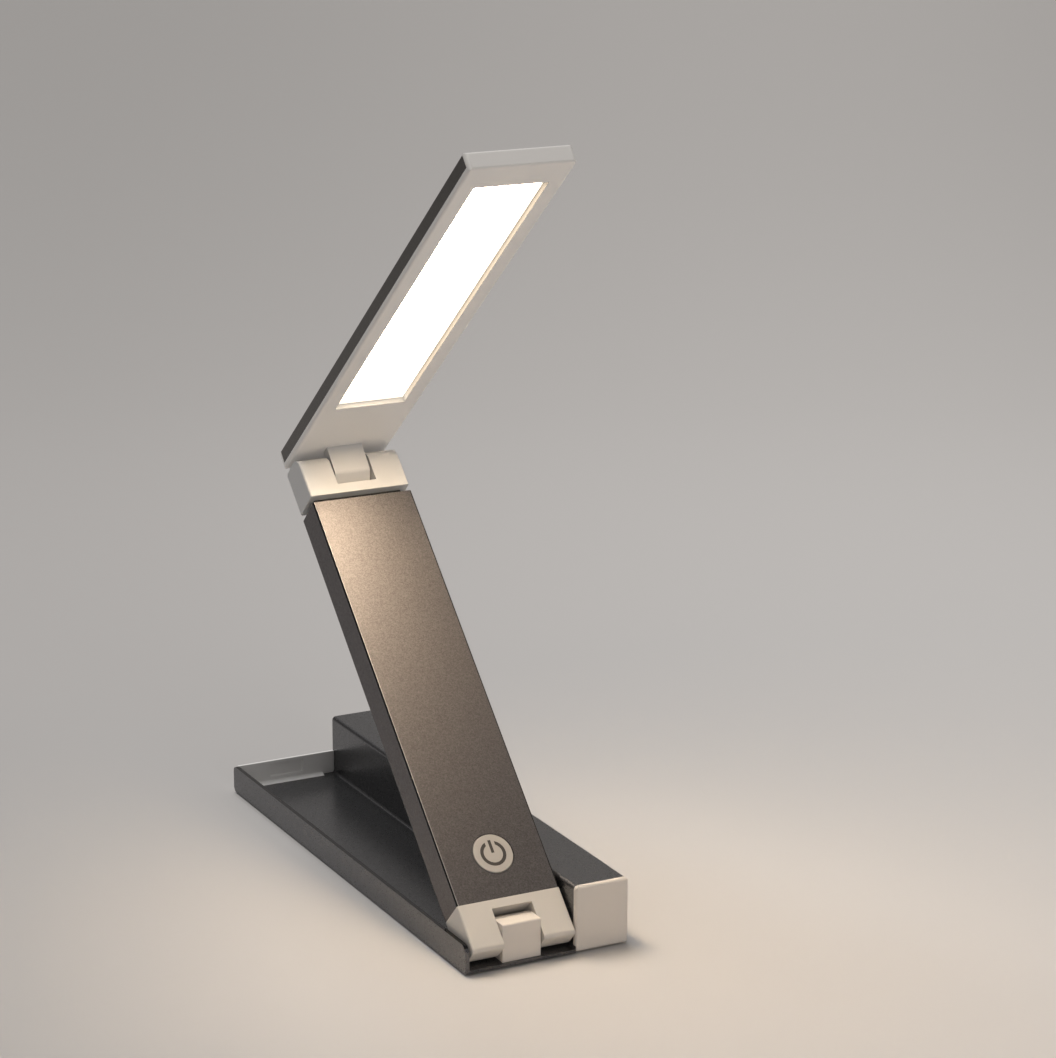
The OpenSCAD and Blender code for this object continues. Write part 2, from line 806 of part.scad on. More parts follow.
// Places on the back of the sleeve where the forks are screwed in, pointing inwards
module fork_screw_places() {
    for (x = [-fork_screw_x, fork_screw_x],
        s = [sleeve_start + spigot_len / 2, sleeve_end - spigot_len / 2])
        translate([x, s, -half_t]) children();
}

module arm_sleeve() {
    color(metal) at_arm() difference() {
        along_y(sleeve_start, sleeve_end - sleeve_start) difference() {
            arm_outline(0, 0, sleeve_edge_r);
            arm_outline(sleeve_wall, sleeve_wall, spigot_r);
        }
        translate([0, button_s, half_t - sleeve_wall - overcut])
            cylinder(sleeve_wall + 2 * overcut, button_r + button_gap, button_r + button_gap);
        fork_screw_places() cylinder(sleeve_wall, fork_screw[1], fork_screw[0]);
    }
}

// Outline of the lower fork's ear: square toe at the front, round heel at the back
module low_ear_outline() {
    difference() {
        union() {
            circle(half_t);
            translate([-half_t, 0]) square([half_t, half_t]);
            translate([0, -half_t]) square([sleeve_start, arm_t]);
        }
        corner_cut([-half_t, half_t], toe_r, [-1, 1]);
    }
}

// The duct that takes the wires from the end of a pin on X to y along the arm. The part along
// X is the narrower one, and back is the side of the pin where the duct ends blind.
module wire_duct(back, y) {
    blind = back * (duct_r + pin_end_gap);
    x_rod(-duct_x, 0, duct_r - slip_gap);
    translate([-duct_x, 0, 0]) y_rod(min(blind, y), max(blind, y), duct_r);
}

module lower_fork() {
    color(white) at_arm() difference() {
        union() {
            intersection() {
                along_x(-arm_w / 2, arm_w) low_ear_outline();
                along_y(-half_t, half_t + sleeve_start) arm_outline(0, 0, sleeve_edge_r);
            }
            along_y(sleeve_start - overcut, spigot_len + overcut)
                arm_outline(sleeve_wall + slip_gap, sleeve_wall + slip_gap, spigot_r);
        }
        along_x(-low_slot_w / 2, low_slot_w)
            translate([-arm_t, -arm_t]) square([arm_t + low_slot, 2 * arm_t]);
        x_rod(-low_slot_w / 2 - washer_recess, low_slot_w / 2 + washer_recess,
            washer_r + knuckle_gap);
        x_rod(-pin_half - pin_end_gap, arm_w, pin_r + run_gap);
        wire_duct(-1, fork_spigot_end + overcut);
        fork_screw_places() cylinder(sleeve_wall + screw_bite, fork_screw[0], fork_screw[0]);
    }
}

// Outline of the upper fork's ear, from the upper axis
module high_ear_outline() {
    start = high_fork_start - axis_span;
    difference() {
        translate([start, -half_t]) square([half_t - start, arm_t]);
        corner_cut([half_t, half_t], shoulder_r, [1, 1]);
        corner_cut([half_t, -half_t], fork_back_r, [1, -1]);
    }
}

module upper_fork() {
    color(white) at_arm() difference() {
        union() {
            translate([0, axis_span, 0]) intersection() {
                along_x(-arm_w / 2, arm_w) high_ear_outline();
                along_y(high_fork_start - axis_span, axis_span + half_t - high_fork_start)
                    arm_outline(0, 0, sleeve_edge_r);
            }
            along_y(sleeve_end - overcut, neck_gap + 2 * overcut)
                arm_outline(neck_inset, neck_depth, spigot_r);
            along_y(sleeve_end - spigot_len, spigot_len)
                arm_outline(sleeve_wall + slip_gap, sleeve_wall + slip_gap, spigot_r);
        }
        translate([0, axis_span, 0]) {
            along_x(-high_slot_w / 2, high_slot_w)
                translate([-high_slot_bottom, -arm_t]) square([high_slot_bottom + arm_t, 2 * arm_t]);
            x_rod(-pin_half - pin_end_gap, pin_half + pin_end_gap, pin_r + run_gap);
            wire_duct(1, sleeve_end - spigot_len - overcut - axis_span);
        }
        fork_screw_places() cylinder(sleeve_wall + screw_bite, fork_screw[0], fork_screw[0]);
    }
}

module fork_screws() {
    color(steel) at_arm() fork_screw_places() translate([0, 0, sleeve_wall + screw_bite])
        mirror([0, 0, 1]) flat_screw(fork_screw, sleeve_wall + screw_bite - fork_screw[2]);
}

module control_screw_places() {
    inset = post_r + spigot_r;
    for (x = [-control_w / 2 + inset, control_w / 2 - inset],
        s = [control_s + control_screw_inset, control_s + control_len - control_screw_inset])
        translate([x, s, 0]) children();
}

module arm_spine() {
    start = fork_spigot_end + slip_gap;
    end = sleeve_end - spigot_len - slip_gap;
    half = spigot_w / 2;
    color([0.75, 0.74, 0.72]) at_arm() difference() {
        union() {
            box([-half, start, spine_z], [half, end, spine_z + spine_t]);
            for (x = [-half, half - spine_t]) box([x, start, spine_z], [x + spine_t, end, 0]);
            control_screw_places() translate([0, 0, spine_z])
                cylinder(control_top - board_t - spine_z, post_r, post_r);
            box([-half, end - spine_t, spine_z], [half, end, spine_z + 2 * spine_t]);
        }
        control_screw_places() translate([0, 0, spine_z + spine_t])
            cylinder(arm_t, board_screw[0], board_screw[0]);
    }
}

module control_board() {
    color(board_green) at_arm() difference() {
        box([-control_w / 2, control_s, control_top - board_t],
            [control_w / 2, control_s + control_len, control_top]);
        control_screw_places() translate([0, 0, -arm_t])
            cylinder(2 * arm_t, board_screw[0], board_screw[0]);
    }
}

module control_board_parts() {
    far = control_s + control_len;
    middle = control_s + control_len / 2;
    color(dark) at_arm() {
        chip(-chip_step / 2, middle, control_top, coil_chip);
        chip(chip_step / 2, middle, control_top, driver_chip);
        for (i = [-1, 1])
            chip(i * chip_step, middle + chip_step, control_top, small_chip);
        for (y = [control_s + control_plug_y, far - control_plug_y])
            chip(control_plug_x - duct_x, y, control_top, control_plug);
    }
}

module control_board_screws() {
    base = spine_z + spine_t;
    color(steel) at_arm() control_screw_places() translate([0, 0, base])
        pan_screw(board_screw, control_top - base);
}

module button_switch() {
    color([0.3, 0.3, 0.3]) at_arm() difference() {
        chip(0, button_s, control_top, [switch_w, switch_w, switch_h]);
        translate([0, button_s, control_top + switch_h - plunger_sink - slip_gap])
            cylinder(plunger_sink + overcut, plunger_r + slip_gap, plunger_r + slip_gap);
    }
}

// Two wires from the lower pin to the board and two from the board to the upper pin
module arm_wires() {
    far = control_s + control_len;
    plug_z = control_top + control_plug.z / 2;
    plug_x = control_plug_x - duct_x;
    color("firebrick") at_arm() for (off = [-wire_lift, wire_lift]) {
        wire([[-duct_x, 0, off], [-duct_x, fork_spigot_end, off],
            [plug_x, control_s + control_plug_y - control_plug.y / 2 - wire_run, plug_z + off],
            [plug_x, control_s + control_plug_y - control_plug.y / 2, plug_z + off]]);
        wire([[plug_x, far - control_plug_y + control_plug.y / 2, plug_z + off],
            [plug_x, far - control_plug_y + control_plug.y / 2 + wire_run, plug_z + off],
            [-duct_x, far + control_plug_y, off], [-duct_x, axis_span, off]]);
    }
}

// ---- Button, drawn in the arm ----

// The power symbol: a ring open towards the arm's top, and a bar in the opening
module symbol_outline() {
    difference() {
        circle(symbol_r);
        circle(symbol_r - symbol_line);
        translate([-symbol_mouth / 2, 0]) square([symbol_mouth, 2 * symbol_r]);
    }
    translate([-symbol_line * 0.45, symbol_r * 1.065 - symbol_bar])
        square([symbol_line * 0.9, symbol_bar]);
}

module power_button() {
    top = half_t + button_proud;
    color(white) at_arm() translate([0, button_s, 0]) difference() {
        union() {
            translate([0, 0, top]) mirror([0, 0, 1]) rotate_extrude($fn = 96)
                difference() {
                    square([button_r, top - flange_top + flange_t]);
                    corner_cut([button_r, 0], button_edge_r, [1, -1]);
                }
            translate([0, 0, flange_top - flange_t]) cylinder(flange_t, flange_r, flange_r);
            translate([0, 0, stem_low]) cylinder(flange_top - stem_low, stem_r, stem_r);
        }
        translate([0, 0, top - symbol_depth]) linear_extrude(symbol_depth + overcut)
            symbol_outline();
    }
}

module power_symbol() {
    color(dark) at_arm() translate([0, button_s, half_t + button_proud - symbol_depth])
        linear_extrude(symbol_depth) symbol_outline();
}

module switch_plunger() {
    color([0.2, 0.2, 0.2]) at_arm() translate([0, button_s, plunger_low])
        cylinder(stem_low - plunger_low, plunger_r, plunger_r);
}

// ---- Head, drawn folded with the upper axis on X ----

// Side view of the head: far end square, near end round at the back
module head_side_outline() {
    difference() {
        translate([head_far_y, face_z]) square([head_len, head_t]);
        corner_cut([head_over, head_back_z], near_end_r, [1, 1]);
        corner_cut([head_over, face_z], head_edge_r, [1, -1]);
        corner_cut([head_far_y, face_z], head_edge_r, [-1, -1]);
        corner_cut([head_far_y, head_back_z], head_edge_r, [-1, 1]);
    }
}

// End view of the head, rounded on the light side
module head_end_outline() {
    half = head_w / 2;
    difference() {
        translate([-half, face_z]) square([head_w, head_t]);
        corner_cut([-half, face_z], head_edge_r, [-1, -1]);
        corner_cut([half, face_z], head_edge_r, [1, -1]);
    }
}

// The space that the metal cover fills: a back plate and two sides
module cover_space() {
    half = head_w / 2;
    near = head_over - end_lip;
    far = head_far_y + end_lip;
    difference() {
        box([-half, far, face_z + side_strip], [half, near, head_back_z]);
        box([-half + cover_t, far - overcut, face_z], [half - cover_t, near + overcut, cover_z]);
    }
}

// Places inside the head where the tongue is screwed down, pointing to the light side
module tongue_screw_places() {
    for (side = [-1, 1])
        translate([side * tongue_screw_x, -tongue_lead, flange_z + tongue_flange_t]) children();
}

module head_frame() {
    half = head_w / 2;
    neck_half = tongue_w / 2;
    color(white) at_head() difference() {
        intersection() {
            along_x(-half, head_w) head_side_outline();
            along_y(head_far_y, head_len) head_end_outline();
            slab([-half, head_far_y], [half, head_over], head_corner_r, face_z, head_back_z);
        }
        cover_space();
        box([-cavity_half, cavity_far_y, flange_z], [cavity_half, cavity_near_y, cover_z]);
        box([-window_w / 2, window_far_y, face_z - overcut],
            [window_w / 2, window_far_y + window_len, flange_z + overcut]);
        box([-neck_half, -tongue_front, face_z - overcut],
            [neck_half, -tongue_front + neck_t, flange_z + overcut]);
        tongue_screw_places() translate([0, 0, -tongue_screw_len])
            cylinder(tongue_screw_len, board_screw[0], board_screw[0]);
    }
}

module head_cover() {
    color(metal) at_head() cover_space();
}

// Side view of the tongue: a barrel cut flat at the front with a bend at its low end, and a
// neck up into the head
module tongue_outline() {
    bend_y = tongue_bend_r - tongue_front;
    bend_z = tongue_bend_r * bend_miss - chamfer;
    bend = [for (a = [0:15:45]) [bend_y - tongue_bend_r * cos(a), bend_z - tongue_bend_r * sin(a)]];
    intersection() {
        circle(barrel_r);
        polygon(concat([[-tongue_front, barrel_r]], bend, [[-chamfer, -tongue_front],
            [barrel_r, -tongue_front], [barrel_r, barrel_r]]));
    }
    translate([-tongue_front, 0]) square([neck_t, flange_z + tongue_flange_t / 2]);
}

module head_tongue() {
    color(white) at_head() difference() {
        union() {
            along_x(-tongue_w / 2, tongue_w) tongue_outline();
            box([-tongue_flange_half, -tongue_lead - tongue_flange_len / 2, flange_z],
                [tongue_flange_half, -tongue_lead + tongue_flange_len / 2,
                    flange_z + tongue_flange_t]);
        }
        x_rod(-tongue_w, tongue_w, pin_r);
        translate([0, -tongue_lead, -lead_r]) cylinder(2 * arm_t, lead_r, lead_r);
        y_rod(-tongue_lead, 0, lead_r - slip_gap);
        tongue_screw_places() translate([0, 0, -tongue_flange_t - overcut])
            cylinder(tongue_flange_t + 2 * overcut, board_screw[0], board_screw[0]);
    }
}

module tongue_screws() {
    color(steel) at_head() tongue_screw_places() translate([0, 0, -tongue_screw_len])
        pan_screw(board_screw, tongue_screw_len);
}

module upper_hinge_pin() {
    color(steel) at_head() difference() {
        hollow_pin(-pin_half, pin_half);
        y_rod(-pin_r - overcut, 0, lead_r - slip_gap);
    }
}

module upper_hinge_washers() {
    color(steel) at_head() washer_pair(tongue_w, (high_slot_w - tongue_w) / 2 - slip_gap);
}

// A plate of the light stack, from z0 over t
module optic_plate(z0, t) {
    box([-optic_half, window_far_y - optic_margin, z0],
        [optic_half, window_far_y + window_len + optic_margin, z0 + t]);
}

module diffuser() {
    color([1, 0.97, 0.9]) at_head() optic_plate(flange_z, diffuser_t);
}

module light_guide() {
    color([0.85, 0.9, 0.95]) at_head() optic_plate(flange_z + diffuser_t, guide_t);
}

module reflector_sheet() {
    color([0.95, 0.95, 0.95]) at_head() optic_plate(flange_z + diffuser_t + guide_t, sheet_t);
}

module led_board() {
    color([0.85, 0.85, 0.85]) at_head()
        box([optic_half + led_deep, window_far_y, flange_z],
            [optic_half + led_deep + led_board_t, led_board_end,
                flange_z + diffuser_t + guide_t + sheet_t]);
}

module leds() {
    count = floor(window_len / led_pitch);
    start = window_far_y + (window_len - (count - 1) * led_pitch) / 2;
    color([1, 0.85, 0.4]) at_head() for (i = [0:count - 1])
        box([optic_half, start + i * led_pitch - led_len / 2, flange_z + diffuser_t],
            [optic_half + led_deep, start + i * led_pitch + led_len / 2,
                flange_z + diffuser_t + guide_t]);
}

// Two wires from the upper pin through the tongue to the end of the LED board
module head_wires() {
    lay_z = flange_z + tongue_flange_t + slip_gap + wire_d / 2;
    turn_y = -tongue_lead - tongue_flange_len / 2 - wire_d;
    end_x = optic_half + led_deep + led_board_t / 2;
    color("firebrick") at_head() for (off = [-wire_lift, wire_lift]) {
        z = lay_z + wire_lift + off;
        wire([[-pin_half, 0, -off], [off, 0, -off], [off, -tongue_lead, -off],
            [off, -tongue_lead, z], [off, turn_y, z], [end_x + off, turn_y - wire_run, z],
            [end_x + off, led_board_end, z]]);
    }
}

base_shell();
base_pad();
tray_end_wall();
block_front_cap();
block_rear_cap();
rear_cap_screws();
charge_indicator();
base_knuckle();
knuckle_screws();
lower_hinge_pin();
lower_hinge_washers();
battery_holder();
battery_cells();
battery_contacts();
charge_board();
charge_board_parts();
charge_board_screws();
charging_socket();
base_wires();
arm_sleeve();
lower_fork();
upper_fork();
fork_screws();
arm_spine();
control_board();
control_board_parts();
control_board_screws();
button_switch();
arm_wires();
power_button();
power_symbol();
switch_plunger();
head_frame();
head_cover();
head_tongue();
tongue_screws();
upper_hinge_pin();
upper_hinge_washers();
diffuser();
light_guide();
reflector_sheet();
led_board();
leds();
head_wires();
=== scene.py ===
# %% [markdown]
# # A folding LED desk lamp, dressed
# The solid model of the lamp is already finished: every wall, pin and screw has its real size and
# place, and nothing here moves or resizes one. This lesson gives the lamp its looks. It turns the
# crisp machine edges into the soft ones of real mouldings and extrusions, gives the lit panel a
# sheet of its own with a map of its face, and makes every finish out of shader nodes.

# %% The frame
import json
import math

import bmesh
import bpy
from mathutils import Matrix, Vector


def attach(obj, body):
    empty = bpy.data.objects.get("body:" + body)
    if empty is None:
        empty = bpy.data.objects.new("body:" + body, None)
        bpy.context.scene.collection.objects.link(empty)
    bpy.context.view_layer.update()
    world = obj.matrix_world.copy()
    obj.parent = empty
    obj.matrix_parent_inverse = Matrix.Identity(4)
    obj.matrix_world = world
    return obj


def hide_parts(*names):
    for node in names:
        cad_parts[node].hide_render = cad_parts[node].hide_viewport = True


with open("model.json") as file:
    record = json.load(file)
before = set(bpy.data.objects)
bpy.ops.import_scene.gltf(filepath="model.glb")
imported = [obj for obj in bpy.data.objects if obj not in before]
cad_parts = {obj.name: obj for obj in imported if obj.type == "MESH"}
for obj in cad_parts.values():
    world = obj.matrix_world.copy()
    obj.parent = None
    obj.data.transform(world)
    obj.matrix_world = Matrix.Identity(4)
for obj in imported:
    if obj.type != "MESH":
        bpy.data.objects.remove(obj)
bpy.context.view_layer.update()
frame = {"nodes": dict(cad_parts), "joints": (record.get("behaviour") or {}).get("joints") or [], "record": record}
MM = 0.001

# %% [markdown]
# The lamp has two hinges, and everything on the arm and on the head is easier to think about in the
# arm's own directions than in the room's. The joints say where the hinge axes are, so the arm's
# slope is the direction from one axis to the other, and the head's tilt follows from how far its
# joint can still close.

# %% Directions of the arm and the head
JOINTS = {joint["name"]: joint for joint in frame["joints"]}
LOW_AXIS = Vector(JOINTS["arm_fold"]["pos_m"])
HIGH_AXIS = Vector(JOINTS["head_tilt"]["pos_m"])
SPAN = (HIGH_AXIS - LOW_AXIS).length
ARM_SLOPE = math.atan2(HIGH_AXIS.z - LOW_AXIS.z, HIGH_AXIS.y - LOW_AXIS.y)
# Folded, the head stops this far short of lying parallel on the arm
CLOSED_HEAD_DEG = 0.2
HEAD_OPEN = math.radians(CLOSED_HEAD_DEG - JOINTS["head_tilt"]["range_deg"][0])

# A base point is (across, along, up) in the room's own directions
BASE = Matrix.Identity(4)
# An arm point is the same with the arm lying flat and the lower axis at the origin
ARM = Matrix.Translation(LOW_AXIS) @ Matrix.Rotation(ARM_SLOPE, 4, "X")
# A head point is the same with the head lying folded and the upper axis at the origin
HEAD = ARM @ Matrix.Translation((0, SPAN, 0)) @ Matrix.Rotation(-HEAD_OPEN, 4, "X")
print("arm slope", round(math.degrees(ARM_SLOPE), 2),
      "head open", round(math.degrees(HEAD_OPEN), 2))


def local_box(node, place):
    """Lowest and highest corner of a CAD node in the directions of a place."""
    back = place.inverted()
    corners = [back @ vertex.co for vertex in frame["nodes"][node].data.vertices]
    low = Vector([min(corner[axis] for corner in corners) for axis in range(3)])
    high = Vector([max(corner[axis] for corner in corners) for axis in range(3)])
    return low, high


# %% [markdown]
# The camera stands low on the left, far away with a long lens, so the lamp's parallel edges stay
# nearly parallel. A tiny roll takes up that no camera is ever held quite level.

# %% The camera
CAMERA_PLACE = Vector((-466.3, -978.8, 423.6)) * MM
CAMERA_AZIMUTH = math.radians(-27.51)
CAMERA_ELEVATION = math.radians(15.46)
CAMERA_ROLL = math.radians(0.16)
LENS_MM = 110.2
NEAREST_M = 0.05
FARTHEST_M = 20.0


def make_camera():
    data = bpy.data.cameras.new("camera")
    data.lens = LENS_MM
    data.clip_start = NEAREST_M
    data.clip_end = FARTHEST_M
    camera = bpy.data.objects.new("camera", data)
    back = Vector((math.sin(CAMERA_AZIMUTH) * math.cos(CAMERA_ELEVATION),
                   -math.cos(CAMERA_AZIMUTH) * math.cos(CAMERA_ELEVATION),
                   math.sin(CAMERA_ELEVATION)))
    aim = (-back).to_track_quat("-Z", "Y").to_matrix().to_4x4()
    camera.matrix_world = (Matrix.Translation(CAMERA_PLACE) @ aim
                           @ Matrix.Rotation(CAMERA_ROLL, 4, "Z"))
    bpy.context.scene.collection.objects.link(camera)
    bpy.context.scene.camera = camera
    return camera


camera = make_camera()
print("camera at", [round(value, 3) for value in camera.location])

# %% [markdown]
# ## Shared shader groups
# A finish that looks real is rarely one colour. Coated metal has a fine sparkle in it, a moulding
# has a skin that is not quite smooth, and everything that is handled has places that shine a
# little more. Each effect could be built anew in every material, but as one node group with named
# sockets it is built once, and every material uses it with its own values. Each group puts out a
# colour, a roughness and a height for the bump.

# %% Helpers that build node groups
GROUP_OUTPUTS = {"Color": "NodeSocketColor", "Roughness": "NodeSocketFloat",
                 "Height": "NodeSocketFloat"}
# A Mix node has its colour sockets after those for numbers and vectors
MIX_FACTOR, MIX_FIRST, MIX_SECOND, MIX_RESULT = 0, 6, 7, 2


def new_group(name, inputs):
    """A shader node group that puts out a finish. inputs is {name: default}."""
    group = bpy.data.node_groups.new(name, "ShaderNodeTree")
    for socket, default in inputs.items():
        kind = "NodeSocketColor" if isinstance(default, tuple) else "NodeSocketFloat"
        made = group.interface.new_socket(socket, in_out="INPUT", socket_type=kind)
        made.default_value = default
    for socket, kind in GROUP_OUTPUTS.items():
        group.interface.new_socket(socket, in_out="OUTPUT", socket_type=kind)
    start = group.nodes.new("NodeGroupInput")
    end = group.nodes.new("NodeGroupOutput")
    return group, start, end


def put_out(group, end, *sources):
    """Link a group's colour, roughness and height to its outputs."""
    for socket, source in zip(GROUP_OUTPUTS, sources):
        group.links.new(source, end.inputs[socket])


def add_node(tree, kind, values=None, links=None, **settings):
    """A node with settings, plain socket values and links from other sockets, by socket name."""
    node = tree.nodes.new(kind)
    for name, value in settings.items():
        setattr(node, name, value)
    for socket, value in (values or {}).items():
        node.inputs[socket].default_value = value
    for socket, source in (links or {}).items():
        tree.links.new(source, node.inputs[socket])
    return node


def add_math(tree, operation, *operands):
    """A math node; each operand is a number or a socket."""
    node = tree.nodes.new("ShaderNodeMath")
    node.operation = operation
    for place, value in enumerate(operands):
        if isinstance(value, (int, float)):
            node.inputs[place].default_value = value
        else:
            tree.links.new(value, node.inputs[place])
    return node.outputs[0]


def add_mix(tree, factor, first, second):
    """A colour mix node; each input is a colour or a socket."""
    node = tree.nodes.new("ShaderNodeMix")
    node.data_type = "RGBA"
    for place, value in ((MIX_FACTOR, factor), (MIX_FIRST, first), (MIX_SECOND, second)):
        if isinstance(value, (int, float, tuple)):
            node.inputs[place].default_value = value
        else:
            tree.links.new(value, node.inputs[place])
    return node.outputs[MIX_RESULT]


def add_darker(tree, color, value):
    """A colour with its brightness times value."""
    darker = add_node(tree, "ShaderNodeHueSaturation", {"Value": value}, {"Color": color})
    return darker.outputs["Color"]


def object_point(tree):
    """The shaded point's place on the lamp, in metres."""
    return tree.nodes.new("ShaderNodeTexCoord").outputs["Object"]


def grey(value):
    return (value, value, value, 1.0)


# %% [markdown]
# **Metallic grain.** The lamp's metal is coated with a satin paint that holds tiny metal flakes. A
# Voronoi pattern a third of a millimetre wide gives each flake its own random tint, and a layered
# noise varies the tint a little more and adds to the bump. An image would do it as well, but a
# procedural pattern stays sharp at any distance.

# %% The metallic grain group
CLOUDS_PER_METRE = 900.0
CLOUD_TINT = 0.6
FLAKE_BUMP = 0.5


def make_flake_group():
    group, start, end = new_group(
        "flake_grain",
        {"Dark": grey(0.1), "Light": grey(0.2), "Flakes per metre": 3000.0, "Tint spread": 0.5,
         "Roughness": 0.4, "Roughness spread": 0.15})
    place = object_point(group)
    flakes = add_node(group, "ShaderNodeTexVoronoi",
                      links={"Vector": place, "Scale": start.outputs["Flakes per metre"]})
    tint = add_node(group, "ShaderNodeSeparateColor", links={"Color": flakes.outputs["Color"]})
    cloud = add_node(group, "ShaderNodeTexNoise",
                     {"Scale": CLOUDS_PER_METRE, "Detail": 4.0, "Roughness": 0.7},
                     {"Vector": place})
    spread = add_math(group, "MULTIPLY", tint.outputs["Red"], start.outputs["Tint spread"])
    clouded = add_math(group, "MULTIPLY", cloud.outputs["Fac"], CLOUD_TINT)
    mixed = add_math(group, "ADD", spread, clouded)
    color = add_mix(group, mixed, start.outputs["Dark"], start.outputs["Light"])
    rough = add_math(group, "MULTIPLY_ADD", tint.outputs["Green"],
                     start.outputs["Roughness spread"], start.outputs["Roughness"])
    flake_height = add_math(group, "MULTIPLY", tint.outputs["Blue"], FLAKE_BUMP)
    put_out(group, end, color, rough, add_math(group, "ADD", cloud.outputs["Fac"], flake_height))
    return group


flake_group = make_flake_group()
print("group", flake_group.name)

# %% [markdown]
# **Moulded skin.** Injection-moulded plastic copies the spark-eroded surface of its mould: a very
# fine, even texture under a faint large wave that comes from shrinking. The texture could be real
# geometry, but it is far too fine for that, so both layers are noise. The same skin suits the white
# mouldings, the black inner ones and the rubber pad, each with its own scale and depth.

# %% The moulded skin group
WAVES_PER_METRE = 45.0
WAVE_BRIGHTNESS = 0.6
WAVE_ROUGHNESS = 0.2
WAVE_MIDDLE = 0.5
WAVE_BUMP = 2.0


def make_skin_group():
    group, start, end = new_group(
        "moulded_skin",
        {"Color": grey(0.8), "Shade": 0.06, "Grain per metre": 2500.0, "Roughness": 0.4})
    place = object_point(group)
    grain = add_node(group, "ShaderNodeTexNoise", {"Detail": 3.0},
                     {"Vector": place, "Scale": start.outputs["Grain per metre"]})
    wave = add_node(group, "ShaderNodeTexNoise", {"Scale": WAVES_PER_METRE, "Detail": 2.0},
                    {"Vector": place}).outputs["Fac"]
    amount = add_math(group, "MULTIPLY", wave, start.outputs["Shade"])
    darker = add_darker(group, start.outputs["Color"], WAVE_BRIGHTNESS)
    color = add_mix(group, amount, start.outputs["Color"], darker)
    centred = add_math(group, "SUBTRACT", wave, WAVE_MIDDLE)
    lift = add_math(group, "MULTIPLY", centred, WAVE_ROUGHNESS)
    rough = add_math(group, "ADD", start.outputs["Roughness"], lift)
    wave_height = add_math(group, "MULTIPLY", wave, WAVE_BUMP)
    put_out(group, end, color, rough, add_math(group, "ADD", grain.outputs["Fac"], wave_height))
    return group


skin_group = make_skin_group()
print("group", skin_group.name)

# %% [markdown]
# **Drawn metal** has long fine lines along one direction. A brush texture could be painted, but
# stretching a noise is simpler: the Mapping node makes one axis much coarser than the others.

# %% The drawn metal group
LINES_PER_METRE = (60.0, 2500.0, 2500.0)
LINE_BRIGHTNESS = 0.7
LINE_ROUGHNESS = 0.15


def make_drawn_group():
    group, start, end = new_group("drawn_metal", {"Color": grey(0.6), "Roughness": 0.3})
    stretched = add_node(group, "ShaderNodeMapping", {"Scale": LINES_PER_METRE},
                         {"Vector": object_point(group)})
    lines = add_node(group, "ShaderNodeTexNoise", {"Scale": 1.0, "Detail": 3.0},
                     {"Vector": stretched.outputs["Vector"]}).outputs["Fac"]
    darker = add_darker(group, start.outputs["Color"], LINE_BRIGHTNESS)
    color = add_mix(group, lines, start.outputs["Color"], darker)
    lift = add_math(group, "MULTIPLY", lines, LINE_ROUGHNESS)
    put_out(group, end, color, add_math(group, "ADD", start.outputs["Roughness"], lift), lines)
    return group


drawn_group = make_drawn_group()
print("group", drawn_group.name)

# %% [markdown]
# ## Materials
# Each of the lamp's materials is a Principled shader that takes its varying colour, roughness and
# bump from one of the groups. What is the same all over the surface, such as how metallic it is,
# is set on the shader's own socket.

# %% A helper that builds a material from a group


def make_material(name, group, values, bump_mm=0.0, **shader_values):
    """A material whose colour, roughness and bump come from a group with these input values."""
    material = bpy.data.materials.new(name)
    material.use_nodes = True
    tree = material.node_tree
    shader = tree.nodes["Principled BSDF"]
    source = tree.nodes.new("ShaderNodeGroup")
    source.node_tree = group
    for socket, value in values.items():
        source.inputs[socket].default_value = value
    tree.links.new(source.outputs["Color"], shader.inputs["Base Color"])
    tree.links.new(source.outputs["Roughness"], shader.inputs["Roughness"])
    if bump_mm:
        bump = add_node(tree, "ShaderNodeBump", {"Strength": 1.0, "Distance": bump_mm * MM},
                        {"Height": source.outputs["Height"]})
        tree.links.new(bump.outputs["Normal"], shader.inputs["Normal"])
    for socket, value in shader_values.items():
        shader.inputs[socket.replace("_", " ")].default_value = value
    return material


# %% [markdown]
# The coated metal of the base, the arm and the head's cover is one dark grey. It is a paint full of
# metal powder, so it is nearly as metallic as bare metal. The arm's sleeve is blasted before it is
# coated, which gives it a coarse sparkle and a wide, soft shine; the base and the cover are
# smoother, so they mirror what is near them a little more clearly, and the cover is a little
# warmer and darker. Two more finishes are painted light, for narrow faces only: a dark one, painted
# shade, for the rounded edges and the rim's top, and a pale matt one, a painted highlight, for a
# fine line along the sleeve's left edge.

# %% Coated metal
SMOOTH_TONES = ((0.098, 0.098, 0.101, 1.0), (0.228, 0.227, 0.236, 1.0))
BLASTED_TONES = ((0.088, 0.081, 0.080, 1.0), (0.200, 0.185, 0.186, 1.0))
COVER_TONES = ((0.080, 0.075, 0.070, 1.0), (0.170, 0.160, 0.150, 1.0))
# Painted shade: the dark tones of the rounded edges and the rim's top
EDGE_PAINTED_SHADE_TONES = ((0.030, 0.030, 0.031, 1.0), (0.062, 0.062, 0.064, 1.0))
# Painted highlight: the pale tones of a fine line along the sleeve's left edge
HIGHLIGHT_LINE_TONES = ((0.36, 0.345, 0.33, 1.0), (0.45, 0.435, 0.415, 1.0))
FLAKES_PER_METRE = 3200.0


def make_coated_metal(name, tones, tint_spread, roughness, spread, bump_mm=0.0, metallic=0.94):
    """Coated metal whose tint and roughness vary from flake to flake, between two tones."""
    values = {"Dark": tones[0], "Light": tones[1], "Flakes per metre": FLAKES_PER_METRE,
              "Tint spread": tint_spread, "Roughness": roughness, "Roughness spread": spread}
    return make_material(name, flake_group, values, bump_mm, Metallic=metallic)


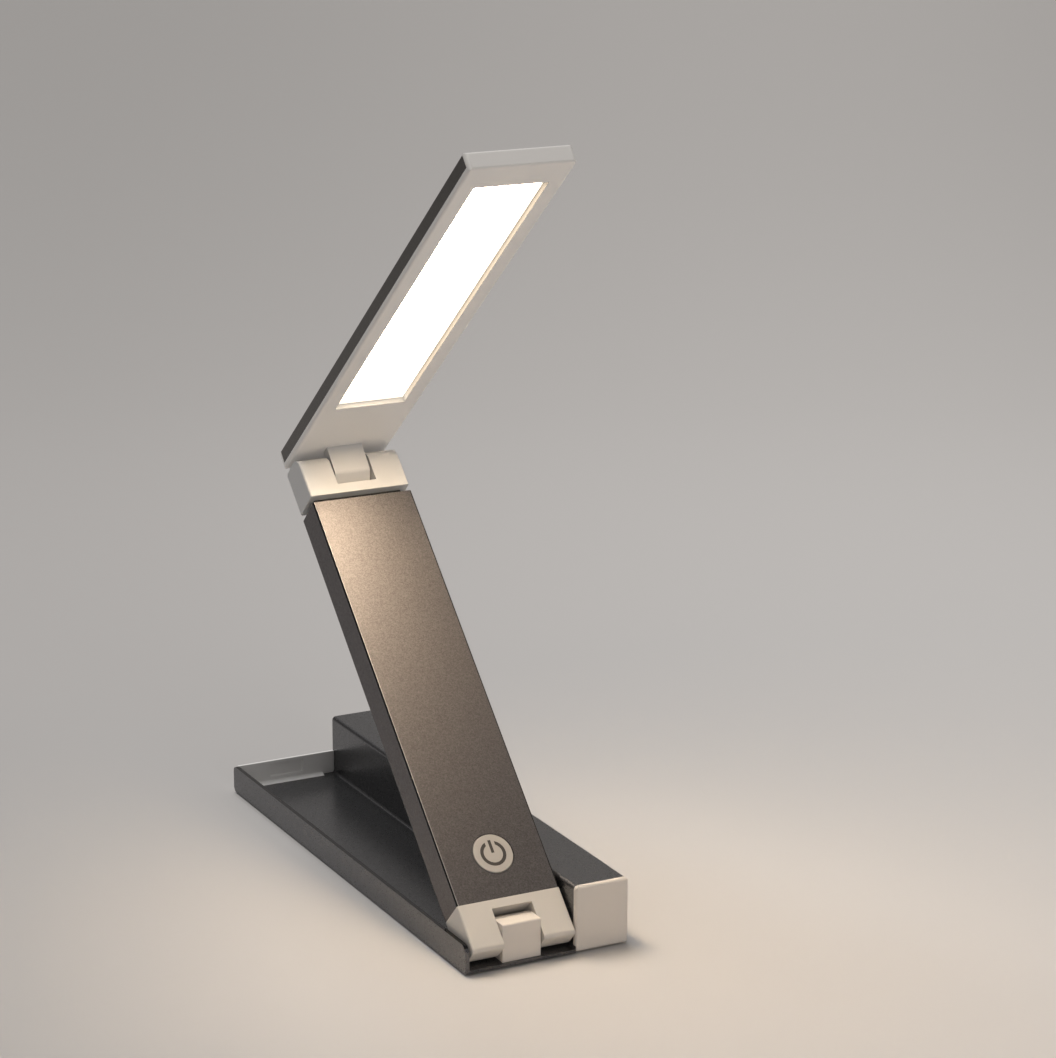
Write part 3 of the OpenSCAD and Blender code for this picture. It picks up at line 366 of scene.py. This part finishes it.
smooth_coat = make_coated_metal("smooth_coat", SMOOTH_TONES, tint_spread=0.20, roughness=0.27,
                                spread=0.03, bump_mm=0.002)
blasted_coat = make_coated_metal("blasted_coat", BLASTED_TONES, tint_spread=0.55, roughness=0.42,
                                 spread=0.14, bump_mm=0.010)
cover_coat = make_coated_metal("cover_coat", COVER_TONES, tint_spread=0.30, roughness=0.30,
                               spread=0.06, bump_mm=0.003)
# Dark as painted shade, for rounded edges only
edge_coat_painted_shade = make_coated_metal("edge_coat_painted_shade", EDGE_PAINTED_SHADE_TONES, tint_spread=0.15, roughness=0.14,
                              spread=0.05)
# Pale as a painted highlight, for one fine line only
painted_highlight_line = make_coated_metal("painted_highlight_line", HIGHLIGHT_LINE_TONES, tint_spread=0.15, roughness=0.45,
                             spread=0.05, metallic=0.2)
print("materials", len(bpy.data.materials))

# %% [markdown]
# The white mouldings share a satin skin, and their six whites paint light and shade into it. The
# caps and the knuckle have the plain white; the lower fork, the upper fork with the head's tongue
# and the button are darker, as painted shade, and the head's frame and the tray's end wall are
# lighter, as painted light. Plastic lets a little light in, which takes the hardness off its
# shadows, but the walls here are thick enough for a plain surface. The window shade and the window
# end are skins without any shine, painted dark as shade. They are for the short walls around the
# lit panel, which would otherwise glare as much as the panel does.

# %% White plastics
WHITE = (0.72, 0.66, 0.60, 1.0)
# Painted light and shade: the fork, upper fork and button whites are darker copies of WHITE, the head's and the
# end wall's lighter ones
FORK_WHITE_PAINTED_SHADE = (0.63, 0.59, 0.54, 1.0)
UPPER_WHITE_PAINTED_SHADE = (0.59, 0.585, 0.58, 1.0)
HEAD_WHITE_PAINTED_LIGHT = (0.84, 0.815, 0.785, 1.0)
WALL_WHITE_PAINTED_LIGHT = (0.90, 0.885, 0.865, 1.0)
BUTTON_WHITE_PAINTED_SHADE = (0.46, 0.43, 0.395, 1.0)
WINDOW_END_PAINTED_SHADE = (0.38, 0.39, 0.405, 1.0)
WHITE_GRAIN = 2600.0
BUTTON_GRAIN = 3200.0


def make_skin(name, color, shade, grain, roughness, bump_mm, **shader_values):
    """A moulded skin, with so many grains to a metre."""
    values = {"Color": color, "Shade": shade, "Grain per metre": grain, "Roughness": roughness}
    return make_material(name, skin_group, values, bump_mm, **shader_values)


def make_white(name, color, shade=0.08, roughness=0.42):
    """The satin skin of a white moulding."""
    return make_skin(name, color, shade, WHITE_GRAIN, roughness, bump_mm=0.006)


def make_window_skin(name, color):
    """The skin without any shine, painted dark as shade, for the walls around the panel."""
    return make_skin(name, color, shade=0.1, grain=WHITE_GRAIN, roughness=0.7, bump_mm=0.004,
                     Specular_IOR_Level=0.0)


# The forks' and the button's whites are painted shade, the head's and the wall's painted light
white_plastic = make_white("white_plastic", WHITE, shade=0.10)
fork_plastic_painted_shade = make_white("fork_plastic_painted_shade", FORK_WHITE_PAINTED_SHADE, shade=0.10)
upper_plastic_painted_shade = make_white("upper_plastic_painted_shade", UPPER_WHITE_PAINTED_SHADE)
wall_plastic_painted_light = make_white("wall_plastic_painted_light", WALL_WHITE_PAINTED_LIGHT)
head_plastic_painted_light = make_white("head_plastic_painted_light", HEAD_WHITE_PAINTED_LIGHT, roughness=0.40)
# Both window skins are painted dark as shade beside the lit panel
window_painted_shade = make_window_skin("window_painted_shade", grey(0.8))
window_end_painted_shade = make_window_skin("window_end_painted_shade", WINDOW_END_PAINTED_SHADE)
button_plastic = make_skin("button_plastic", BUTTON_WHITE_PAINTED_SHADE, shade=0.06, grain=BUTTON_GRAIN,
                           roughness=0.34, bump_mm=0.003)
print("materials", len(bpy.data.materials))

# %% [markdown]
# The rest is seen little or not at all: the sign's dark ink, the rubber of the pad, and what is
# inside the lamp. These are skins too, each coarser or finer, and rougher or smoother, as the real
# stuff is. The sheet that guides the light is clear acrylic, so light also passes through it.

# %% Dark plastics, rubber and inner parts
symbol_ink = make_skin("symbol_ink", color=(0.055, 0.047, 0.042, 1.0), shade=0.3,
                       grain=BUTTON_GRAIN, roughness=0.5, bump_mm=0.003)
black_plastic = make_skin("black_plastic", color=grey(0.022), shade=0.3, grain=1800.0,
                          roughness=0.5, bump_mm=0.01)
pad_rubber = make_skin("pad_rubber", color=grey(0.018), shade=0.5, grain=900.0,
                       roughness=0.75, bump_mm=0.05)
inner_plastic = make_skin("inner_plastic", color=grey(0.42), shade=0.2, grain=1500.0,
                          roughness=0.55, bump_mm=0.01)
board_green = make_skin("board_green", color=(0.012, 0.09, 0.04, 1.0), shade=0.5, grain=700.0,
                        roughness=0.3, bump_mm=0.01)
wire_red = make_skin("wire_red", color=(0.45, 0.02, 0.015, 1.0), shade=0.3, grain=1500.0,
                     roughness=0.45, bump_mm=0.01)
cell_sleeve = make_skin("cell_sleeve", color=(0.02, 0.10, 0.32, 1.0), shade=0.4, grain=500.0,
                        roughness=0.3, bump_mm=0.02)
light_pipe = make_skin("light_pipe", color=(0.62, 0.70, 0.64, 1.0), shade=0.1, grain=2000.0,
                       roughness=0.2, bump_mm=0.002)
clear_guide = make_skin("clear_guide", color=(0.80, 0.86, 0.90, 1.0), shade=0.05, grain=1000.0,
                        roughness=0.08, bump_mm=0.001, Transmission_Weight=0.7)
reflector_film = make_skin("reflector_film", color=grey(0.88), shade=0.05, grain=2000.0,
                           roughness=0.3, bump_mm=0.004)
led_phosphor = make_skin("led_phosphor", color=(0.85, 0.62, 0.12, 1.0), shade=0.2, grain=3000.0,
                         roughness=0.35, bump_mm=0.01)
print("materials", len(bpy.data.materials))

# %% [markdown]
# The screws, pins and washers are drawn steel, the battery contacts are a brass spring alloy, and
# the LED board is a strip of coated aluminium, so it is only partly metallic. Metal without any
# texture would be a mirror, so the fine drawn lines break its reflections up.

# %% Bare metals


def make_drawn_metal(name, color, roughness, metallic=1.0):
    values = {"Color": color, "Roughness": roughness}
    return make_material(name, drawn_group, values, bump_mm=0.004, Metallic=metallic)


steel = make_drawn_metal("steel", color=grey(0.56), roughness=0.24)
spring_brass = make_drawn_metal("spring_brass", color=(0.66, 0.47, 0.20, 1.0), roughness=0.25)
led_strip = make_drawn_metal("led_strip", color=grey(0.75), roughness=0.45, metallic=0.3)
print("materials", len(bpy.data.materials))

# %% [markdown]
# ## Softening the solids
# A real moulding has no perfectly sharp edge: even a crisp one is rounded by a few tenths of a
# millimetre, and that thin round is what catches the light and tells the eye how big the thing
# is. The solids are right in every other way, so the visible ones are copied, their loose
# triangles are joined into whole faces, and the edges are bevelled. A Bevel modifier would round
# them too, but its new faces aren't in the mesh until it is applied, and some of them get a finish
# of their own here: the edge lines of the coated metal, painted dark as shade, are such faces. The
# Weighted Normal modifier then keeps the large faces flat right up to the thin bevels.

# %% Helpers that soften a CAD node
BODY_OF = {node: body for body, nodes in frame["record"]["behaviour"]["bodies"].items()
           for node in nodes}
MERGE_MM = 0.002
# Edges that turn less than FLAT go, those that turn more than SHARP are rounded, and those that
# turn less than SMOOTH are shaded as one round surface
FLAT = math.radians(0.6)
SHARP = math.radians(25)
SMOOTH = math.radians(40)


def to_object(name, shape, material):
    """A new object from a bmesh, with flat faces kept flat and round ones smooth."""
    mesh = bpy.data.meshes.new(name)
    for face in shape.faces:
        face.smooth = True
    for edge in shape.edges:
        edge.smooth = len(edge.link_faces) == 2 and edge.calc_face_angle(0.0) < SMOOTH
    shape.to_mesh(mesh)
    shape.free()
    mesh.materials.append(material)
    piece = bpy.data.objects.new(name, mesh)
    bpy.context.scene.collection.objects.link(piece)
    modifier = piece.modifiers.new("flat faces stay flat", "WEIGHTED_NORMAL")
    modifier.keep_sharp = True
    return piece


def seat(piece, *nodes):
    """The piece stands for these nodes and rides on their body."""
    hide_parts(*nodes)
    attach(piece, BODY_OF[nodes[0]])
    return piece


def softened(node, material, round_mm, segments=3, edge_material=None):
    """A copy of a CAD node with its loose triangles joined and its edges rounded."""
    shape = bmesh.new()
    shape.from_mesh(frame["nodes"][node].data)
    bmesh.ops.remove_doubles(shape, verts=shape.verts, dist=MERGE_MM * MM)
    bmesh.ops.dissolve_limit(shape, angle_limit=FLAT, verts=shape.verts, edges=shape.edges)
    sharp = [edge for edge in shape.edges
             if len(edge.link_faces) == 2 and edge.calc_face_angle(0.0) > SHARP]
    bmesh.ops.bevel(shape, geom=sharp, offset=round_mm * MM, offset_type="OFFSET",
                    segments=segments, profile=0.5, affect="EDGES", clamp_overlap=True,
                    material=1 if edge_material else -1)
    piece = to_object(node + "_piece", shape, material)
    if edge_material:
        piece.data.materials.append(edge_material)
    return seat(piece, node)


def give_faces(piece, material, place, chosen):
    """Give a finish to the faces for which chosen(centre, normal) holds, as seen in place."""
    if material.name not in piece.data.materials:
        piece.data.materials.append(material)
    slot = piece.data.materials.find(material.name)
    back = place.inverted()
    turn = back.to_3x3()
    count = 0
    for face in piece.data.polygons:
        if chosen(back @ face.center, turn @ face.normal):
            face.material_index = slot
            count += 1
    print(piece.name, "faces in", material.name, count)


# %% [markdown]
# The base is one aluminium extrusion, cut off square and coated. Its bevels and the top of its low
# rim are painted dark as shade. The end wall, the caps and the hinge knuckle are white mouldings,
# each with its own small round. Which faces are on the rim is read from where they are and which
# way they face, so nobody has to pick them by hand.

# %% The base's visible pieces
wall_low, wall_high = local_box("tray_end_wall", BASE)
RIM_WIDTH_MM = 2.5
RIM_DEPTH_MM = 3.5
FACING_UP = 0.6


def on_rim_top(centre, normal):
    """Whether a face of the base is on top of its low left rim."""
    return (centre.x < wall_low.x + RIM_WIDTH_MM * MM and normal.z > FACING_UP
            and centre.z > wall_high.z - RIM_DEPTH_MM * MM)


# The bevels and the rim's top are painted dark as shade
base_shell = softened("base_shell", smooth_coat, round_mm=0.34, edge_material=edge_coat_painted_shade)
give_faces(base_shell, edge_coat_painted_shade, BASE, on_rim_top)
# The end wall's white is painted lighter, as light
softened("tray_end_wall", wall_plastic_painted_light, round_mm=0.20)
softened("block_front_cap", white_plastic, round_mm=0.12)
softened("block_rear_cap", white_plastic, round_mm=0.20)
softened("base_knuckle", white_plastic, round_mm=0.35)
print("base pieces softened")

# %% [markdown]
# The arm is a metal sleeve between two forks. The sleeve's long edges are rounded already, so only
# its cut ends and the button's hole need a small bevel. The long rounds are painted dark as shade,
# but for a fine line along the left one at the top face, which is a painted highlight. The neck of
# the upper fork shows only as a narrow gap above the sleeve, and it is painted black as the shadow
# in that gap.

# %% The arm's visible pieces
sleeve_low, sleeve_high = local_box("arm_sleeve", ARM)
# Limits on the parts of a face's normal along the arm and across it
ALONG_ROUND = 0.1
ROUND_START, ROUND_END = 0.15, 0.999
HIGHLIGHT_LINE_END = 0.4
ALONG_NECK = 0.5
HIGHLIGHT_LINE_WIDTH_MM = 1.0
NECK_MM = 2.2
NECK_SLACK_MM = 0.1


def on_long_round(centre, normal):
    """Whether a face of the sleeve is on one of its long rounds."""
    return abs(normal.y) < ALONG_ROUND and ROUND_START < abs(normal.x) < ROUND_END


def on_painted_highlight_line(centre, normal):
    """Whether a face of the sleeve is in the fine line between its left round and its top, which carries the
    painted highlight.
    """
    return (abs(normal.y) < ALONG_ROUND and ROUND_START < -normal.x < HIGHLIGHT_LINE_END and normal.z > 0
            and centre.x < sleeve_low.x + HIGHLIGHT_LINE_WIDTH_MM * MM)


def on_neck_painted_shadow(centre, normal):
    """Whether a face of the upper fork is on the side of its neck, which is painted black as shadow."""
    past_sleeve = centre.y - sleeve_high.y
    return abs(normal.y) < ALONG_NECK and -NECK_SLACK_MM * MM < past_sleeve < NECK_MM * MM


# The bevels and the long rounds are painted dark as shade
arm_sleeve = softened("arm_sleeve", blasted_coat, round_mm=0.14, edge_material=edge_coat_painted_shade)
give_faces(arm_sleeve, edge_coat_painted_shade, ARM, on_long_round)
# A painted highlight along the sleeve's left round
give_faces(arm_sleeve, painted_highlight_line, ARM, on_painted_highlight_line)
# The forks' whites are painted darker, as shade
softened("lower_fork", fork_plastic_painted_shade, round_mm=0.32)
upper_fork = softened("upper_fork", upper_plastic_painted_shade, round_mm=0.32)
# The neck is painted black as the shadow in the gap
give_faces(upper_fork, black_plastic, ARM, on_neck_painted_shadow)
print("arm pieces softened")

# %% [markdown]
# The head is a white frame with a metal cover let into its back and sides, and the tongue that
# carries it sits in the upper fork. The window's walls are painted dark as shade beside the lit
# panel. The panel dims towards the hinge, so the painted shade gets paler there, and the walls look
# evenly lit. The wall at the hinge end faces the dim stretch alone and has a painted shade of its
# own.

# %% The walls of the window
panel_low, panel_high = local_box("diffuser", HEAD)
WINDOW_RIM_MM = 1.5
PANEL_MARGIN_MM = 1.5
HINGE_FADE_MM = 32.0
# The painted shade on the window's walls, paler where the panel beside them is dimmer
PAINTED_SHADE_TINT = (1.0, 1.03, 1.085, 1.0)
PAINTED_SHADE_DARKEST = 0.071
PAINTED_SHADE_PALEST = 0.45
PAINTED_SHADE_POWER = -0.7
LEAST_LEVEL = 0.01
# The walls face sideways, so their normals have an upward part under FACING_OUT. The one at the
# hinge end faces the far end, so its normal's part along the head is under FACING_FAR
FACING_OUT = 0.9
FACING_FAR = -0.5


def paint_shade_by_panel(material):
    """Set the painted shade's colour from how bright the panel is beside it."""
    tree = material.node_tree
    across, along, up, offset = HEAD.inverted()[1]
    turned = add_node(tree, "ShaderNodeVectorMath", {1: (across, along, up)},
                      {0: object_point(tree)}, operation="DOT_PRODUCT")
    from_hinge = add_math(tree, "SUBTRACT", panel_high.y - offset, turned.outputs["Value"])
    past_margin = add_math(tree, "SUBTRACT", from_hinge, PANEL_MARGIN_MM * MM)
    rising = add_math(tree, "DIVIDE", past_margin, HINGE_FADE_MM * MM)
    panel_level = add_math(tree, "MINIMUM", add_math(tree, "MAXIMUM", rising, LEAST_LEVEL), 1.0)
    paler = add_math(tree, "POWER", panel_level, PAINTED_SHADE_POWER)
    level = add_math(tree, "MINIMUM", add_math(tree, "MULTIPLY", paler, PAINTED_SHADE_DARKEST),
                     PAINTED_SHADE_PALEST)
    tone = add_mix(tree, level, grey(0.0), PAINTED_SHADE_TINT)
    tree.links.new(tone, tree.nodes["Group"].inputs["Color"])


def in_window(centre, normal):
    """Whether a face of the frame is one of the short walls around the panel."""
    rim = WINDOW_RIM_MM * MM
    inside = (panel_low.x - rim < centre.x < panel_high.x + rim
              and panel_low.y - rim < centre.y < panel_high.y + rim)
    return inside and abs(normal.z) < FACING_OUT


def at_hinge_end(centre, normal):
    """Whether a face of the frame is the window's wall at the hinge end."""
    return in_window(centre, normal) and normal.y < FACING_FAR


paint_shade_by_panel(window_painted_shade)
print("shade over the last", HINGE_FADE_MM, "mm towards the hinge")

# %% [markdown]
# All the walls of the window take the painted shade first, and the wall at the hinge end then
# takes its own painted shade instead. The frame could be cut into separate pieces for that, but a
# second and third finish on one mesh leaves no seam.

# %% The head's visible pieces
# The frame's white is painted lighter, as light
head_frame = softened("head_frame", head_plastic_painted_light, round_mm=0.28)
# The window's walls take the painted shade, the hinge end's wall its own
give_faces(head_frame, window_painted_shade, HEAD, in_window)
give_faces(head_frame, window_end_painted_shade, HEAD, at_hinge_end)
# The cover's bevels are painted dark as shade
softened("head_cover", cover_coat, round_mm=0.15, edge_material=edge_coat_painted_shade)
# The tongue takes the upper fork's white, painted darker as shade
softened("head_tongue", upper_plastic_painted_shade, round_mm=0.32)
print("head pieces softened")

# %% [markdown]
# ## The lit panel
# The diffuser is an opal sheet over a clear guide, which a row of LEDs lights along one side. The
# sheet is brightest over most of its face, turns warmer and much darker in a narrow border, and
# dims slowly over its last 32 mm towards the hinge end. A painted image could hold all that, but
# math on the sheet's own UV map needs no image and gives each border its width in millimetres.

# %% The diffuser's material
PANEL_LIGHT = (1.0, 0.79, 0.55, 1.0)
PANEL_RIM = (0.026, 0.023, 0.019, 1.0)
PANEL_STRENGTH = 38.0
PANEL_SKIN = {"Color": (0.92, 0.90, 0.86, 1.0), "Shade": 0.03, "Roughness": 0.5}
SIDE_FADE_MM = 1.4


def make_panel_material(width_mm, length_mm):
    material = make_material("lit_panel", skin_group, PANEL_SKIN, Emission_Strength=PANEL_STRENGTH)
    tree = material.node_tree
    uv = tree.nodes.new("ShaderNodeUVMap")
    axes = add_node(tree, "ShaderNodeSeparateXYZ", links={"Vector": uv.outputs["UV"]})
    from_left = add_math(tree, "MULTIPLY", axes.outputs["X"], width_mm)
    from_right = add_math(tree, "SUBTRACT", width_mm, from_left)
    from_far = add_math(tree, "MULTIPLY", axes.outputs["Y"], length_mm)
    from_hinge = add_math(tree, "SUBTRACT", length_mm, from_far)
    inside = 1.0
    for distance, fade in ((from_left, SIDE_FADE_MM), (from_right, SIDE_FADE_MM),
                           (from_far, SIDE_FADE_MM), (from_hinge, HINGE_FADE_MM)):
        past_margin = add_math(tree, "SUBTRACT", distance, PANEL_MARGIN_MM)
        inside = add_math(tree, "MINIMUM", inside, add_math(tree, "DIVIDE", past_margin, fade))
    inside.node.use_clamp = True
    glow = add_mix(tree, inside, PANEL_RIM, PANEL_LIGHT)
    tree.links.new(glow, tree.nodes["Principled BSDF"].inputs["Emission Color"])
    return material


# %% [markdown]
# The sheet has the diffuser's own size and place. U runs across it and V along it, from its far end
# to its hinge end, and the material above turns both into millimetres.

# %% The diffuser's shape
PANEL_CUTS = 3


def grid_plate(low, high, place):
    """A plate from low to high in a place's directions, cut into a grid and mapped from above."""
    size, centre = high - low, (low + high) / 2
    shape = bmesh.new()
    uv = shape.loops.layers.uv.new("UVMap")
    bmesh.ops.create_cube(shape, size=1.0, calc_uvs=False)
    bmesh.ops.subdivide_edges(shape, edges=shape.edges[:], cuts=PANEL_CUTS, use_grid_fill=True)
    for face in shape.faces:
        for loop in face.loops:
            loop[uv].uv = (loop.vert.co.x + 0.5, loop.vert.co.y + 0.5)
    grow = Matrix.Translation(centre) @ Matrix.Diagonal((size.x, size.y, size.z, 1.0))
    bmesh.ops.transform(shape, matrix=place @ grow, verts=shape.verts)
    return shape


panel_size = panel_high - panel_low
panel_material = make_panel_material(panel_size.x / MM, panel_size.y / MM)
lit_panel = to_object("lit_panel", grid_plate(panel_low, panel_high, HEAD), panel_material)
seat(lit_panel, "diffuser")
print("panel, mm:", [round(value / MM, 1) for value in panel_size])

# %% [markdown]
# ## The power button
# The button is a round cap of a smoother white, painted darker than the caps as shade, and its
# sign is a thin ring and a bar let into its face. The sign is only 0.3 mm deep, so its edges get a
# very small round, of one segment.

# %% The button and its sign
# The button's white is painted darker, as shade
power_button = softened("power_button", button_plastic, round_mm=0.10)
softened("power_symbol", symbol_ink, round_mm=0.03, segments=1)
print("button faces", len(power_button.data.polygons))

# %% [markdown]
# ## Everything inside and small
# The screws, pins, boards and wires keep their solids. They could be softened too, but pieces as
# small or as hidden as these gain nothing from it. Each still gets a finish of its own, since the
# lamp may be opened or seen from below.

# %% Finishes of the carried-over nodes
FINISHES = {
    steel: ["rear_cap_screws", "knuckle_screws", "lower_hinge_pin", "lower_hinge_washers",
            "charge_board_screws", "charging_socket", "fork_screws", "control_board_screws",
            "tongue_screws", "upper_hinge_pin", "upper_hinge_washers"],
    spring_brass: ["battery_contacts"],
    black_plastic: ["battery_holder", "charge_board_parts", "control_board_parts",
                    "button_switch", "switch_plunger"],
    pad_rubber: ["base_pad"],
    cell_sleeve: ["battery_cells"],
    board_green: ["charge_board", "control_board"],
    wire_red: ["base_wires", "arm_wires", "head_wires"],
    inner_plastic: ["arm_spine"],
    light_pipe: ["charge_indicator"],
    clear_guide: ["light_guide"],
    reflector_film: ["reflector_sheet"],
    led_strip: ["led_board"],
    led_phosphor: ["leds"],
}
for finish, nodes in FINISHES.items():
    for node in nodes:
        data = frame["nodes"][node].data
        data.materials.clear()
        data.materials.append(finish)
print("finished nodes:", sum(len(nodes) for nodes in FINISHES.values()))

# %% [markdown]
# ## The stage
# A flat floor would end in a horizon line, so this pale one runs back and curves up into a
# backdrop. Light and shade are painted into its colour: it is darker on the left than on the right,
# its painted shade changes slowly from the front to the top of the view, and it keeps the lamp's
# shadow.

# %% The floor and backdrop
# Sizes in metres; the bend is the radius between the floor and the backdrop
STAGE_FRONT = -3.0
STAGE_BACK = 1.6
STAGE_HEIGHT = 2.6
STAGE_WIDTH = 8.0
STAGE_BEND = 0.9
BEND_STEPS = 16


def make_stage():
    """A floor that bends up into a wall, with V running along it and U across it."""
    profile = [(STAGE_FRONT, 0.0)]
    for step in range(BEND_STEPS + 1):
        turn = math.pi / 2 * step / BEND_STEPS
        profile.append((STAGE_BACK - STAGE_BEND + STAGE_BEND * math.sin(turn),
                        STAGE_BEND - STAGE_BEND * math.cos(turn)))
    profile.append((STAGE_BACK, STAGE_HEIGHT))
    shape = bmesh.new()
    verts = [shape.verts.new((-STAGE_WIDTH / 2, y, z)) for y, z in profile]
    edges = [shape.edges.new(pair) for pair in zip(verts, verts[1:])]
    sheet = bmesh.ops.extrude_edge_only(shape, edges=edges)
    moved = [item for item in sheet["geom"] if isinstance(item, bmesh.types.BMVert)]
    bmesh.ops.translate(shape, vec=(STAGE_WIDTH, 0, 0), verts=moved)
    bmesh.ops.recalc_face_normals(shape, faces=shape.faces)
    uv = shape.loops.layers.uv.new("UVMap")
    run = STAGE_BACK + STAGE_HEIGHT - STAGE_FRONT
    for face in shape.faces:
        face.smooth = True
        for loop in face.loops:
            point = loop.vert.co
            loop[uv].uv = (point.x / STAGE_WIDTH + 0.5, (point.y + point.z - STAGE_FRONT) / run)
    bmesh.ops.rotate(shape, cent=(0, 0, 0), verts=shape.verts,
                     matrix=Matrix.Rotation(CAMERA_AZIMUTH, 3, "Z"))
    mesh = bpy.data.meshes.new("stage")
    shape.to_mesh(mesh)
    shape.free()
    stage = bpy.data.objects.new("stage", mesh)
    bpy.context.scene.collection.objects.link(stage)
    return stage


stage = make_stage()
print("stage faces", len(stage.data.polygons))

# %% [markdown]
# The stage's painted light and shade is mixed from six tones: three along it on the left and three
# on the right. Two lights of different strength could do the same, but they would change the lamp's
# own shading too.

# %% The stage's material
# Painted light and shade: colours near the lamp, behind it and at the top of the view, on the left
# and on the right
LEFT_TONES = ((0.37, 0.37, 0.375, 1.0), (0.46, 0.445, 0.435, 1.0), (0.40, 0.387, 0.377, 1.0))
RIGHT_TONES = ((0.74, 0.70, 0.67, 1.0), (0.66, 0.64, 0.625, 1.0), (0.54, 0.522, 0.508, 1.0))
# Where the tones change, as shares of the stage's length and width
NEAR_TO_FAR = (0.385, 0.44)
FAR_TO_TOP = (0.45, 0.61)
LEFT_TO_RIGHT = (0.46, 0.545)
PAPER_ROUGHNESS = 0.9
PAPER_SPECULAR = 0.1


def add_range(tree, value, limits):
    """How far a value has come between two limits, eased at both ends."""
    low, high = limits
    return add_node(tree, "ShaderNodeMapRange", {"From Min": low, "From Max": high},
                    {"Value": value}, interpolation_type="SMOOTHSTEP").outputs["Result"]


def make_stage_material():
    material = bpy.data.materials.new("stage_paper")
    material.use_nodes = True
    tree = material.node_tree
    shader = tree.nodes["Principled BSDF"]
    uv = add_node(tree, "ShaderNodeSeparateXYZ",
                  links={"Vector": tree.nodes.new("ShaderNodeUVMap").outputs["UV"]})
    far = add_range(tree, uv.outputs["Y"], NEAR_TO_FAR)
    up = add_range(tree, uv.outputs["Y"], FAR_TO_TOP)
    across = add_range(tree, uv.outputs["X"], LEFT_TO_RIGHT)
    left, right = [add_mix(tree, up, add_mix(tree, far, near_tone, far_tone), top_tone)
                   for near_tone, far_tone, top_tone in (LEFT_TONES, RIGHT_TONES)]
    tree.links.new(add_mix(tree, across, left, right), shader.inputs["Base Color"])
    shader.inputs["Roughness"].default_value = PAPER_ROUGHNESS
    shader.inputs["Specular IOR Level"].default_value = PAPER_SPECULAR
    return material


stage.data.materials.append(make_stage_material())
print("stage tones", len(LEFT_TONES) + len(RIGHT_TONES))

# %% [markdown]
# ## Light
# One broad soft light from above and behind on the left, a weaker one from the front, a small weak
# one from high up in front that draws the edges, and an even world. Their level is set so that a
# colour renders about as it is written. The lamp's own panel adds the warm light on the arm and
# the floor.

# %% Lamps and world
LIGHT_TARGET = Vector((0, 0, 0.12))
WORLD_COLOR = (1.0, 0.98, 0.965, 1.0)
WORLD_STRENGTH = 0.22


def add_area_light(name, place, size, watts, color):
    """A round light at a place in metres, turned to the middle of the lamp."""
    data = bpy.data.lights.new(name, "AREA")
    data.shape = "DISK"
    data.size = size
    data.energy = watts
    data.color = color
    light = bpy.data.objects.new(name, data)
    light.location = place
    light.rotation_euler = (LIGHT_TARGET - Vector(place)).to_track_quat("-Z", "Y").to_euler()
    bpy.context.scene.collection.objects.link(light)


add_area_light("soft light above", place=(-0.2, 0.7, 1.75), size=1.4, watts=24.0,
               color=(1.0, 0.99, 0.98))
add_area_light("soft light in front", place=(-0.15, -2.05, 0.5), size=0.8, watts=6.0,
               color=(1.0, 0.96, 0.92))
add_area_light("edge light", place=(-0.31, -0.6, 1.9), size=0.35, watts=1.0,
               color=(1.0, 0.98, 0.95))

world = bpy.data.worlds.new("world")
bpy.context.scene.world = world
world.use_nodes = True
background = world.node_tree.nodes["Background"]
background.inputs["Color"].default_value = WORLD_COLOR
background.inputs["Strength"].default_value = WORLD_STRENGTH
bpy.context.scene.view_settings.view_transform = "Standard"
print("lights", len(bpy.data.lights))
